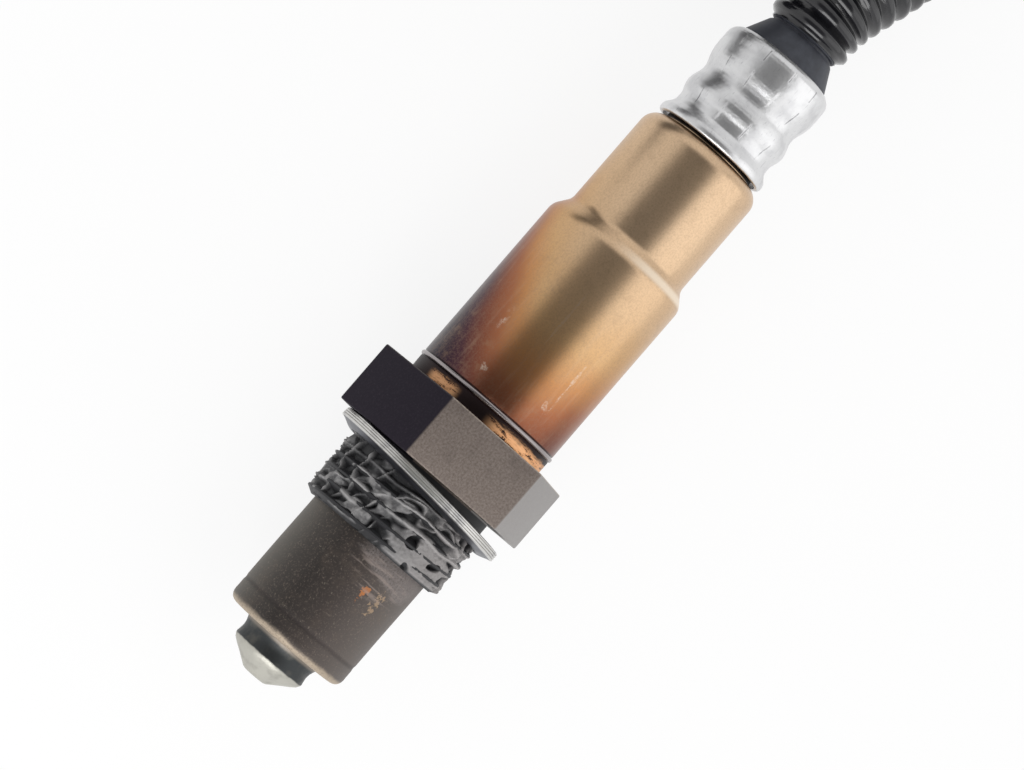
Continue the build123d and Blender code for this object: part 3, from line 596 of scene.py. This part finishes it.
def push_outwards(mesh, change):
    """Move each corner of a turned mesh along its radius, by what a function of x, angle and radius gives."""
    for corner in mesh.verts:
        radius = hypot(corner.co.y, corner.co.z)
        if radius < 1e-6:
            continue
        scale = 1 + change(corner.co, radius) / radius
        corner.co.y *= scale
        corner.co.z *= scale


def length(name, description, millimetres):
    """A size in the sidebar, with its default in millimetres."""
    return bpy.props.FloatProperty(
        name=name, description=description, default=millimetres * MM, unit="LENGTH")


class HousingSizes(bpy.types.PropertyGroup):
    """Sizes of the housing."""

    pitch: length("Thread pitch", "Distance between two crests", 1.5)
    crest_radius: length("Crest radius", "Radius over the thread", 8.97)
    across_flats: length("Across flats", "Width of the hex", 22.0)
    edge_break: length("Edge break", "Bevel on the hex's edges", 0.16)


class PasteSizes(bpy.types.PropertyGroup):
    """Sizes of the dried paste on the thread."""

    depth: length("Depth", "From the deepest hollow to the highest crest", 1.05)
    top: length("Top", "Radius of the highest crest", 9.1)


class GasketSizes(bpy.types.PropertyGroup):
    """Sizes of the sealing ring."""

    tilt: bpy.props.FloatProperty(
        name="Tilt", description="How far the loose ring leans", default=radians(4.3), subtype="ANGLE")
    outer_radius: length("Outer radius", "Radius over the ring", 11.15)


class ConduitSizes(bpy.types.PropertyGroup):
    """Sizes of the corrugated conduit."""

    radius: length("Radius", "Radius over the ridges", 5.0)
    valley: length("Valley radius", "Radius between the ridges", 4.2)
    ridge_pitch: length("Ridge pitch", "Distance between two ridges", 1.95)


class StageSizes(bpy.types.PropertyGroup):
    """Size and colour of the floor, and the level of the room's light."""

    floor_width: length("Floor width", "Side of the square floor", 6000.0)
    floor_color: bpy.props.FloatVectorProperty(
        name="Floor colour", description="Colour of the floor", default=(0.92, 0.92, 0.92), subtype="COLOR")
    world_level: bpy.props.FloatProperty(
        name="World level", description="Brightness of the room", default=0.85)


def scene_sizes():
    return bpy.context.scene.oxygen_sensor


def thread_ridge(sizes):
    """One crest of the thread, wound along its helix and closed at both ends."""
    half_base = sizes.pitch * 7 / 16
    half_crest = sizes.pitch / 14
    root = sizes.crest_radius - THREAD_DEPTH
    sunk = root - 0.2 * MM
    turns = (-THREAD_TIP - 2 * half_crest) / sizes.pitch
    steps = round(THREAD_STEPS * turns)
    start = THREAD_TIP + half_crest
    mesh = bmesh.new()
    points = (
        (start - half_base, root), (start - half_crest, sizes.crest_radius),
        (start + half_crest, sizes.crest_radius), (start + half_base, root),
        (start + half_base, sunk), (start - half_base, sunk),
    )
    spin(mesh, profile(mesh, points, True), 2 * pi * turns, steps, sizes.pitch * turns / steps)
    bmesh.ops.holes_fill(mesh, edges=[edge for edge in mesh.edges if edge.is_boundary], sides=0)
    bmesh.ops.rotate(mesh, verts=mesh.verts, cent=(0, 0, 0), matrix=Matrix.Rotation(-THREAD_TURN, 3, "X"))
    bmesh.ops.recalc_face_normals(mesh, faces=mesh.faces)
    return mesh


def join_into(target, source):
    """Add one mesh to another."""
    data = bpy.data.meshes.new("joined")
    source.to_mesh(data)
    source.free()
    target.from_mesh(data)
    bpy.data.meshes.remove(data)


class SENSOR_OT_housing(bpy.types.Operator):
    """Make the housing: hex, turned body and thread"""

    bl_idname = "sensor.housing"
    bl_label = "Housing"

    def execute(self, context):
        sizes = scene_sizes().housing
        mesh = bmesh.new()
        corner = sizes.across_flats / 2 / cos(pi / 6)
        bmesh.ops.create_circle(
            mesh, cap_ends=True, segments=6, radius=corner,
            matrix=Matrix.Translation((HEX_SEAT, 0, 0)) @ Matrix.Rotation(pi / 2, 4, "Y"),
        )
        grown = bmesh.ops.extrude_face_region(mesh, geom=mesh.faces[:])
        moved = [item for item in grown["geom"] if isinstance(item, bmesh.types.BMVert)]
        bmesh.ops.translate(mesh, verts=moved, vec=(HEX_TOP - HEX_SEAT, 0, 0))
        bmesh.ops.recalc_face_normals(mesh, faces=mesh.faces)
        bmesh.ops.bevel(
            mesh, geom=mesh.edges[:], offset=sizes.edge_break, affect="EDGES", segments=3, profile=0.5,
            material=-1)
        bore, spigot, neck, foot = 3.5, 7.0, 8.35, 8.0
        root = sizes.crest_radius - THREAD_DEPTH
        points = beside(SPIGOT_TIP, (0.0, bore), (0.0, spigot))
        points += [(THREAD_TIP, spigot * MM), (THREAD_TIP, root), (0.0, root)]
        points += beside(0.0, (0.3, neck), (2.0, neck))
        points += beside(HEX_SEAT, (0.0, neck), (0.2, 10.9))
        points += beside(HEX_TOP, (-0.2, foot))
        points += beside(HOUSING_END, (0.0, foot), (0.0, bore))
        join_into(mesh, lathe(points, PLAIN_STEPS))
        join_into(mesh, thread_ridge(sizes))
        finish_piece(mesh, "housing_body", hex_steel(), ("housing",), 28.0)
        return {"FINISHED"}


def smooth_share(value, low, high):
    """0 under low, 1 over high, and smooth between them."""
    share = min(1.0, max(0.0, (value - low) / (high - low)))
    return share * share * (3 - 2 * share)


def paste_height(place, pitch):
    """How full the paste is at a place, from 0 in the deepest hollow to 1 on the highest crest."""
    turn = turn_of(place)
    around = radians(turn) * PATTERN_RADIUS

    def cloud(along, across, layer):
        return noise.noise(Vector((place.x * along, around * across, layer)))

    # The thread's crests show through where the paste isn't broken
    turned = (atan2(place.y, place.z) - THREAD_TURN) / (2 * pi)
    phase = (place.x - THREAD_TIP) / pitch + turned + cloud(260, 210, 3.0) * 0.34
    crest = 0.5 + 0.5 * cos(2 * pi * phase)
    ridge = crest**1.3 * min(1.04, 0.8 + 0.75 * cloud(330, 300, 8.0))

    # Torn webs stand between the crests, over a bottom of small plates
    warp_x = place.x + 0.7 * MM * cloud(420, 380, 21.0)
    warp_around = around + 0.9 * MM * cloud(380, 420, 31.0)
    web_noise = noise.noise(Vector((warp_x * 330 + warp_around * 190, warp_around * 330, 1.0)))
    web = max(0.0, 1 - abs(web_noise) * 4.2) ** 1.2
    web = web * (0.86 + 0.45 * cloud(600, 600, 5.0))
    plates = noise.noise(Vector((warp_x * 560, warp_around * 300, 41.0)))
    bottom = 0.22 + 0.55 * smooth_share(plates, 0.02, 0.22) + 0.25 * cloud(1100, 800, 2.0)
    height = max(ridge, web, bottom) + 0.16 * cloud(1300, 1100, 14.0)

    # On one side the paste is wiped flat, with a few pits
    edge = 14 * cloud(500, 300, 17.0)
    flat = smooth_share(edge - turn, 4, 14) * (1 - smooth_share(edge - turn, 66, 80))
    flat = flat * (1 - smooth_share(place.x + edge * 0.05 * MM, -2.9 * MM, -2.2 * MM))
    smooth = 0.84 + 0.16 * cloud(300, 260, 7.0)
    smooth = smooth + 0.07 * cloud(1300, 1000, 9.0)
    smooth = smooth - 0.85 * smooth_share(cloud(620, 420, 11.0), 0.3, 0.42)
    height = height * (1 - flat) + smooth * flat
    return height + 0.06 * cloud(2600, 2600, 4.0)


class SENSOR_OT_paste(bpy.types.Operator):
    """Make the dried paste that fills and tears over the thread"""

    bl_idname = "sensor.paste"
    bl_label = "Dried paste"

    def execute(self, context):
        sizes = scene_sizes().paste
        pitch = scene_sizes().housing.pitch
        start = THREAD_TIP - 0.35 * MM
        length, columns = PASTE_END - start, 132
        outside = [(start + length * number / columns, sizes.top) for number in range(columns + 1)]
        mesh = lathe([(start, PASTE_BORE), *outside, (PASTE_END, PASTE_BORE)], 480)

        def change(place, radius):
            if radius < 8.0 * MM:
                return 0.0
            fullness = paste_height(place, pitch)
            near_end = smooth_share(place.x, start, start + 0.45 * MM)
            near_ring = 1 - smooth_share(place.x, PASTE_END - 1.3 * MM, PASTE_END - 0.5 * MM)
            ragged = 0.25 * waver(place, 900, 300)
            kept = (0.25 + 0.75 * near_end) * (0.87 + 0.13 * near_ring)
            fullness = fullness * kept + ragged * (1 - near_end)
            return (fullness - 1) * sizes.depth

        push_outwards(mesh, change)
        finish_piece(mesh, "thread_paste", paste_finish(), (), 50.0)
        return {"FINISHED"}


class SENSOR_OT_outer_tube(bpy.types.Operator):
    """Make the outer protection tube with its rolled end"""

    bl_idname = "sensor.outer_tube"
    bl_label = "Outer protection tube"

    def execute(self, context):
        outer, bore, mouth, corner = 7.525, 7.1, 4.82, 1.0
        points = beside(THREAD_TIP, (-0.05, bore), (-0.05, outer))
        points += beside(
            TUBE_TIP + 2.7 * MM, (0.35, outer), (0.12, outer - 0.05), (-0.12, outer - 0.05), (-0.35, outer))
        points += beside(
            TUBE_TIP, (corner + 0.35, outer), (corner + 0.15, outer + 0.02),
            *arc(corner, outer - corner, corner, 90, 180, 8), (0.0, mouth), (0.4, mouth), (0.4, bore),
        )
        mesh = lathe(dense(points, 0.5 * MM), 160)

        def change(place, radius):
            if radius < (outer - 0.2) * MM:
                return 0.0
            return waver(place, 160, 160) * 0.035 * MM

        push_outwards(mesh, change)
        finish_piece(mesh, "outer_tube", tube_steel(), ("outer_protection_tube",), 40.0)
        return {"FINISHED"}


class SENSOR_OT_nose(bpy.types.Operator):
    """Make the inner protection tube with its waist, ridge and cone"""

    bl_idname = "sensor.nose"
    bl_label = "Nose"

    def execute(self, context):
        points = beside(NOSE_TIP, (0.4, 0.8), (0.0, 0.8), (0.0, 1.3), (0.08, 1.55))
        points += beside(
            NOSE_RIDGE, (-1.33, 2.98), (-0.9, 3.67), (-0.48, 4.22), (-0.1, 4.46), (0.12, 4.5), (0.4, 4.44),
            (1.0, 4.36), (1.5, 4.42), (1.95, 4.58),
        )
        points += beside(TUBE_TIP, (-0.02, 4.76), (0.3, 4.76), (0.5, 4.5))
        points += beside(SPIGOT_TIP, (-0.4, 4.5), (-0.4, 6.9), (0.0, 6.9), (0.0, 4.1))
        points += beside(NOSE_RIDGE, (0.2, 4.1))
        mesh = lathe(dense(points, 0.6 * MM), PLAIN_STEPS)

        def change(place, radius):
            if place.x > TUBE_TIP:
                return 0.0
            flats = cos(9 * atan2(place.y, place.z) + 1.0)
            cone = 1 - smooth_share(place.x, NOSE_RIDGE - 0.6 * MM, NOSE_RIDGE)
            return (flats * 0.05 * cone * min(1.0, radius / (3.0 * MM)) + waver(place, 300, 300) * 0.04) * MM

        push_outwards(mesh, change)
        finish_piece(mesh, "nose_tube", nose_steel(), ("inner_protection_tube",), 25.0)
        return {"FINISHED"}


class SENSOR_OT_gasket(bpy.types.Operator):
    """Make the folded crush ring, loose and tilted on the thread"""

    bl_idname = "sensor.gasket"
    bl_label = "Sealing gasket"

    def execute(self, context):
        sizes = scene_sizes().gasket
        outer = sizes.outer_radius / MM
        points = beside(
            0.0, (-0.5, 9.2), (-0.74, 9.32), (-0.775, 9.6), (-0.66, 9.95), (-0.4, outer - 0.62),
            (-0.28, outer - 0.3), (-0.26, outer - 0.1), (-0.17, outer), (-0.06, outer - 0.01),
            (-0.02, outer - 0.1), (0.03, outer - 0.02), (0.12, outer), (0.2, outer - 0.02),
            (0.24, outer - 0.11), (0.29, outer - 0.02), (0.38, outer), (0.46, outer - 0.03),
            (0.5, outer - 0.11), (0.55, outer - 0.03), (0.66, outer - 0.05), (0.75, outer - 0.22),
            (0.775, outer - 0.7), (0.775, 9.6), (0.62, 9.22),
        )
        mesh = lathe(points, 200)

        def change(place, radius):
            share = smooth_share(radius, 10.6 * MM, 11.1 * MM)
            return 0.03 * MM * share * waver(place, 900, 180)

        push_outwards(mesh, change)
        low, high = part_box("sealing_gasket")
        middle = Vector([(one + other) / 2 for one, other in zip(low, high)])
        lean = Matrix.Rotation(-sizes.tilt, 4, "Z")
        bmesh.ops.transform(mesh, matrix=Matrix.Translation(middle) @ lean, verts=mesh.verts)
        finish_piece(mesh, "crush_ring", gasket_steel(), ("sealing_gasket",), 40.0)
        return {"FINISHED"}


class SENSOR_OT_sleeve(bpy.types.Operator):
    """Make the drawn sleeve with its bead, shoulder and turned-in end"""

    bl_idname = "sensor.sleeve"
    bl_label = "Protective sleeve"

    def execute(self, context):
        lower, upper, wall, mouth, fold = 8.86, 7.585, 0.8, 4.91, 1.87
        points = beside(HEX_TOP, (0.0, 8.1), (0.0, lower - 0.05))
        points += beside(
            BEAD, (-0.42, lower - 0.02), (-0.32, lower - 0.06), *arc(0.0, lower - 0.1, 0.28, 165, 15, 10),
            (0.32, lower - 0.06), (0.45, lower),
        )
        points += beside(SHOULDER_START, *arc(-0.65, lower - 2.0, 2.0, 90, 54, 10))
        points += beside(SHOULDER_END, *arc(0.48, upper + 1.5, 1.5, 234, 270, 10))
        points += beside(UPPER_END, (-0.1, upper), *arc(0.0, upper - fold, fold, 88, 8, 12))
        points += beside(TURNED_IN, (0.0, mouth + wall))
        points += beside(SLEEVE_END, (0.0, mouth + wall), (0.0, mouth))
        points += beside(UPPER_END, (0.5, mouth), (0.0, upper - wall))
        points += beside(SHOULDER_END, (0.0, upper - wall))
        points += beside(SHOULDER_START, (0.0, lower - wall))
        mesh = lathe(dense(points, 0.8 * MM), 192)

        def change(place, radius):
            if radius < (upper - 0.3) * MM:
                return 0.0
            return waver(place, 70, 90) * 0.018 * MM

        push_outwards(mesh, change)
        finish_piece(mesh, "drawn_sleeve", sleeve_steel(), ("protective_sleeve",), 40.0)
        return {"FINISHED"}


class SENSOR_OT_collar(bpy.types.Operator):
    """Make the crimp collar with its waves and the marks of the six jaws"""

    bl_idname = "sensor.collar"
    bl_label = "Crimp collar"

    def execute(self, context):
        waves = (
            (0.0, 6.72), (0.08, 6.88), (0.28, 6.97), (0.6, 6.98), (0.95, 6.88), (1.3, 6.6), (1.65, 6.35),
            (2.0, 6.22), (2.7, 6.21), (3.1, 6.28), (3.55, 6.45), (4.0, 6.58), (4.5, 6.6), (5.0, 6.5),
            (5.5, 6.35), (5.95, 6.18), (6.35, 6.12), (6.8, 6.16), (7.3, 6.3), (7.8, 6.48), (8.3, 6.62),
            (8.8, 6.7), (9.8, 6.75), (10.9, 6.76), (11.4, 6.7), (11.8, 6.45), (12.05, 6.15), (12.2, 5.95),
            (12.2, 5.77), (11.4, 5.77), (8.0, 5.77), (1.6, 5.77), (0.4, 6.35), (0.0, 6.38),
        )
        mesh = lathe(dense(beside(COLLAR_START, *waves), 0.14 * MM), 360)

        def change(place, radius):
            along = (place.x - COLLAR_START) / MM
            if radius < 6.0 * MM:
                return 0.0
            turn = turn_of(place)
            from_gap = abs((turn + JAW_TURN / 2) % JAW_TURN - JAW_TURN / 2)
            jaw = smooth_share(from_gap, 14.2, 16.0)
            raised = 0.0
            for start, end in COLLAR_MARKS:
                inside = smooth_share(along, start - 0.25, start + 0.3)
                inside = inside * (1 - smooth_share(along, end - 0.3, end + 0.25))
                raised += inside * (0.015 - 0.04 * jaw)
            return (raised + waver(place, 260, 260) * 0.05 + waver(place, 700, 700) * 0.012) * MM

        push_outwards(mesh, change)
        finish_piece(mesh, "crimped_collar", collar_steel(), ("crimp_collar",), 50.0)
        return {"FINISHED"}


class SENSOR_OT_grommet(bpy.types.Operator):
    """Make the rubber grommet with its cone and its short spigot"""

    bl_idname = "sensor.grommet"
    bl_label = "Grommet"

    def execute(self, context):
        points = beside(GROMMET_START, (0.0, 0.0), (0.0, 5.7))
        points += beside(COLLAR_END, (-0.1, 5.71), (0.05, 5.66))
        points += beside(CONE_END, (-0.15, 4.28), (0.0, 4.14), (0.06, 3.9), (0.32, 3.88), (0.42, 4.17))
        points += beside(CABLE_EXIT, (-0.1, 4.2), (0.0, 4.1), (0.0, 0.0))
        mesh = lathe(dense(points, 0.5 * MM), PLAIN_STEPS)
        finish_piece(mesh, "rubber_grommet", grommet_rubber(), ("grommet",), 30.0)
        return {"FINISHED"}


def coil_route():
    """The coil's points: three half turns, each closer to the middle than the one before."""
    inwards = Vector((0.0, 1.0))
    start = atan2(-inwards.y, -inwards.x)
    step = 2 * pi / COIL_POINTS_A_TURN
    outside = 1 / cos(step / 2)
    half = COIL_POINTS_A_TURN // 2
    points = []
    for number in range(3 * half):
        shift = COIL_PITCH / 2 * (number // half)
        centre = Vector(COIL_CENTRE)
        if number // half == 1:
            centre = centre + inwards * COIL_PITCH / 2
        radius = (COIL_RADIUS - shift) * outside
        angle = start + (number + 0.5) * step
        points.append((centre.x + radius * cos(angle), centre.y + radius * sin(angle), CONDUIT_ROUTE[-1][2]))
    return points


def route_line():
    """The conduit's smooth line: a NURBS spline of its route, read as points."""
    curve = bpy.data.curves.new("conduit_route", "CURVE")
    curve.dimensions = "3D"
    curve.resolution_u = 16
    spline = curve.splines.new("NURBS")
    route = [*CONDUIT_ROUTE, *coil_route(), *TAIL_ROUTE]
    spline.points.add(len(route) - 1)
    for point, place in zip(spline.points, route):
        point.co = (*(value * MM for value in place), 1.0)
    spline.order_u = 3
    spline.use_endpoint_u = True
    carrier = add_object("conduit_route", curve)
    line = bpy.data.meshes.new_from_object(carrier)
    points = [vertex.co.copy() for vertex in line.vertices]
    bpy.data.meshes.remove(line)
    bpy.data.objects.remove(carrier)
    bpy.data.curves.remove(curve)
    return points


def bend_along(mesh, line):
    """Bend a straight mesh, whose X is the distance along it, to a line."""
    distances = [0.0]
    for before, after in zip(line, line[1:]):
        distances.append(distances[-1] + (after - before).length)
    last = len(line) - 1
    directions = [(line[min(n + 1, last)] - line[max(n - 1, 0)]).normalized() for n in range(last + 1)]
    frames = {}

    def frame_at(distance):
        key = round(distance * 1e7)
        if key not in frames:
            low, high = 0, len(distances) - 1
            while high - low > 1:
                middle = (low + high) // 2
                low, high = (middle, high) if distances[middle] <= distance else (low, middle)
            share = min(1.0, (distance - distances[low]) / (distances[high] - distances[low]))
            forwards = directions[low].lerp(directions[high], share).normalized()
            side = Vector((0, 0, 1)).cross(forwards).normalized()
            frames[key] = (line[low].lerp(line[high], share), side, forwards.cross(side))
        return frames[key]

    for corner in mesh.verts:
        place, side, up = frame_at(corner.co.x)
        corner.co = place + side * corner.co.y + up * corner.co.z


class SENSOR_OT_conduit(bpy.types.Operator):
    """Make the corrugated conduit from the grommet through its coil to the connector"""

    bl_idname = "sensor.conduit"
    bl_label = "Conduit"

    def execute(self, context):
        sizes = scene_sizes().conduit
        line = route_line()
        length = sum((after - before).length for before, after in zip(line, line[1:]))
        ridged = length + CONDUIT_GRIP - CONDUIT_BARE_END
        count = round(ridged / sizes.ridge_pitch)
        pitch = ridged / count
        height = sizes.radius - sizes.valley
        lip = CONDUIT_MOUTH + 0.1 * MM
        stop = 0.02 * MM
        points = [(stop, 0.0), (stop, CONDUIT_MOUTH), (-CONDUIT_GRIP, CONDUIT_MOUTH), (-CONDUIT_GRIP, lip)]
        for number in range(count):
            start = -CONDUIT_GRIP + 0.1 * MM + number * pitch
            lowest = lip if number == 0 else sizes.valley
            for along, share in RIDGE:
                points.append((start + along * pitch, max(lowest, sizes.valley + share * height)))
        points += [(length, sizes.valley), (length, 0.0)]
        mesh = lathe(points, 32)
        bend_along(mesh, line)
        bmesh.ops.recalc_face_normals(mesh, faces=mesh.faces)
        piece = finish_piece(
            mesh, "corrugated_conduit", conduit_plastic(),
            ("conduit_tube", "conduit_coil", "conduit_tail"), 80.0)
        return {"FINISHED"}


def conduit_plastic():
    """Glossy black plastic with faint dusty clouds."""
    look = Finish("conduit_plastic", 0.0)
    clouds = look.grain(4.0, 4.0, 0.6)
    fine = look.grain(0.3, 4.0, 0.7)
    look.color = look.mix(look.step(clouds, 0.4, 0.75) * 0.6, (0.006, 0.006, 0.008), (0.016, 0.016, 0.019))
    look.feed(IOR=1.5, Coat__Weight=0.3, Coat__Roughness=0.05)
    return look.done(0.12 + clouds * 0.12, look.bump(fine, 0.01))


class SENSOR_OT_plain_pieces(bpy.types.Operator):
    """Give the inner pieces and the connector their materials"""

    bl_idname = "sensor.plain_pieces"
    bl_label = "Inner pieces and connector"

    def execute(self, context):
        for name, (settings, starts) in PLAIN_FINISHES.items():
            material = plain_finish(name, *settings)
            for piece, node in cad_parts.items():
                if piece.startswith(starts):
                    node.data.materials.clear()
                    node.data.materials.append(material)
        return {"FINISHED"}


def floor_finish(color):
    """Pale floor that the camera sees nearly white, and that keeps the object's shadow."""
    look = Finish("studio_floor", 0.0)
    clouds = look.grain(400.0)
    look.color = look.mix(clouds * 0.1, tuple(color), (0.95, 0.95, 0.95))
    look.feed(Base__Color=look.color, Roughness=0.9)
    seen, glossy, through = (
        look.node("ShaderNodeLightPath", output=f"Is {kind} Ray")
        for kind in ("Camera", "Glossy", "Transmission"))
    share = (seen + glossy + through).least(1.0) * FLOOR_GLOW
    glow = look.node("ShaderNodeEmission", {}, {"Color": (1.0, 1.0, 1.0, 1.0), "Strength": 1.0}, "Emission")
    matt = Value(look.tree, look.shader.outputs[0])
    both = look.node("ShaderNodeMixShader", {}, {0: share, 1: matt, 2: glow})
    look.fill(look.tree.nodes["Material Output"], {"Surface": both})
    return look.material


def add_camera():
    data = bpy.data.cameras.new("camera")
    data.sensor_fit = "HORIZONTAL"
    data.sensor_width = FILM_WIDTH
    data.lens = FOCAL_PIXELS / PICTURE_WIDTH * FILM_WIDTH
    data.clip_start = 0.01
    camera = add_object("camera", data)
    up = [-value for value in CAMERA_DOWN]
    backwards = [-value for value in CAMERA_FORWARD]
    columns = (CAMERA_RIGHT, up, backwards, CAMERA_PLACE)
    camera.matrix_world = Matrix([[column[row] for column in columns] for row in range(3)] + [[0, 0, 0, 1]])
    bpy.context.scene.camera = camera


def add_lamp(name, place, side, power):
    data = bpy.data.lights.new(name, "AREA")
    data.shape = "RECTANGLE"
    data.size = data.size_y = side
    data.energy = power
    lamp = add_object(name, data)
    aim = Vector(LAMP_AIM) - Vector(place)
    lamp.matrix_world = Matrix.Translation(place) @ aim.to_track_quat("-Z", "X").to_matrix().to_4x4()


def light_world(level):
    """A pale room, with a darker gap overhead where the camera stands in the light tent."""
    world = bpy.data.worlds.new("studio")
    world.use_nodes = True
    bpy.context.scene.world = world
    nodes = Nodes(world.node_tree)
    direction = nodes.node("ShaderNodeTexCoord", output="Generated")

    def along(vector):
        sockets = {0: direction, 1: vector}
        return nodes.node("ShaderNodeVectorMath", {"operation": "DOT_PRODUCT"}, sockets, "Value")

    overhead = along([-value for value in CAMERA_FORWARD])
    across = abs(along((0.0, cos(VIEW_TURN), -sin(VIEW_TURN))).degrees(overhead))
    lengthwise = abs(along((1.0, 0.0, 0.0)).degrees(overhead))
    gap = (1 - nodes.step(across, 29.0, 40.0)) * (1 - nodes.step(lengthwise, 24.0, 38.0))
    strength = level * (WALL_LEVEL - gap * GAP_DEPTH)
    seen = nodes.node("ShaderNodeLightPath", output="Is Camera Ray")
    strength = strength + seen * (1 - strength)
    background = nodes.tree.nodes["Background"]
    nodes.fill(background, {"Strength": strength, "Color": (1.0, 1.0, 1.0, 1.0)})


class SENSOR_OT_stage(bpy.types.Operator):
    """Make the floor, the lights and the camera"""

    bl_idname = "sensor.stage"
    bl_label = "Stage"

    def execute(self, context):
        sizes = scene_sizes().stage
        mesh = bmesh.new()
        bmesh.ops.create_grid(mesh, x_segments=1, y_segments=1, size=sizes.floor_width / 2)
        bmesh.ops.translate(mesh, verts=mesh.verts, vec=(0, 0, FLOOR_LEVEL))
        floor = mesh_object(mesh, "studio_floor", floor_finish(sizes.floor_color))
        add_camera()
        light_world(sizes.world_level)
        for name, settings in LAMPS.items():
            add_lamp(name, *settings)
        bpy.context.scene.view_settings.view_transform = "Standard"
        return {"FINISHED"}


class OxygenSensor(bpy.types.PropertyGroup):
    """All sizes of the sensor's visual model."""

    housing: bpy.props.PointerProperty(type=HousingSizes)
    paste: bpy.props.PointerProperty(type=PasteSizes)
    gasket: bpy.props.PointerProperty(type=GasketSizes)
    conduit: bpy.props.PointerProperty(type=ConduitSizes)
    stage: bpy.props.PointerProperty(type=StageSizes)


OPERATORS = (
    SENSOR_OT_housing, SENSOR_OT_paste, SENSOR_OT_outer_tube, SENSOR_OT_nose, SENSOR_OT_gasket,
    SENSOR_OT_sleeve, SENSOR_OT_collar, SENSOR_OT_grommet, SENSOR_OT_conduit, SENSOR_OT_plain_pieces,
    SENSOR_OT_stage,
)


class SENSOR_PT_panel(bpy.types.Panel):
    """Lists the sensor's pieces"""

    bl_idname = "SENSOR_PT_panel"
    bl_label = "Oxygen Sensor"
    bl_space_type = "VIEW_3D"
    bl_region_type = "UI"
    bl_category = "Oxygen Sensor"

    def draw(self, context):
        for operator in OPERATORS:
            self.layout.operator(operator.bl_idname)
        for name in ("housing", "paste", "gasket", "conduit", "stage"):
            box = self.layout.box()
            box.label(text=name.capitalize())
            group = getattr(context.scene.oxygen_sensor, name)
            for size in group.__annotations__:
                box.prop(group, size)


CLASSES = (
    HousingSizes, PasteSizes, GasketSizes, ConduitSizes, StageSizes, OxygenSensor, *OPERATORS,
    SENSOR_PT_panel,
)


def register():
    for item in CLASSES:
        bpy.utils.register_class(item)
    bpy.types.Scene.oxygen_sensor = bpy.props.PointerProperty(type=OxygenSensor)


def unregister():
    del bpy.types.Scene.oxygen_sensor
    for item in reversed(CLASSES):
        bpy.utils.unregister_class(item)


def main():
    register()
    bpy.ops.sensor.stage()
    bpy.ops.sensor.conduit()
    bpy.ops.sensor.housing()
    bpy.ops.sensor.paste()
    bpy.ops.sensor.outer_tube()
    bpy.ops.sensor.nose()
    bpy.ops.sensor.gasket()
    bpy.ops.sensor.sleeve()
    bpy.ops.sensor.collar()
    bpy.ops.sensor.grommet()
    bpy.ops.sensor.plain_pieces()


if __name__ == "__main__":
    main()
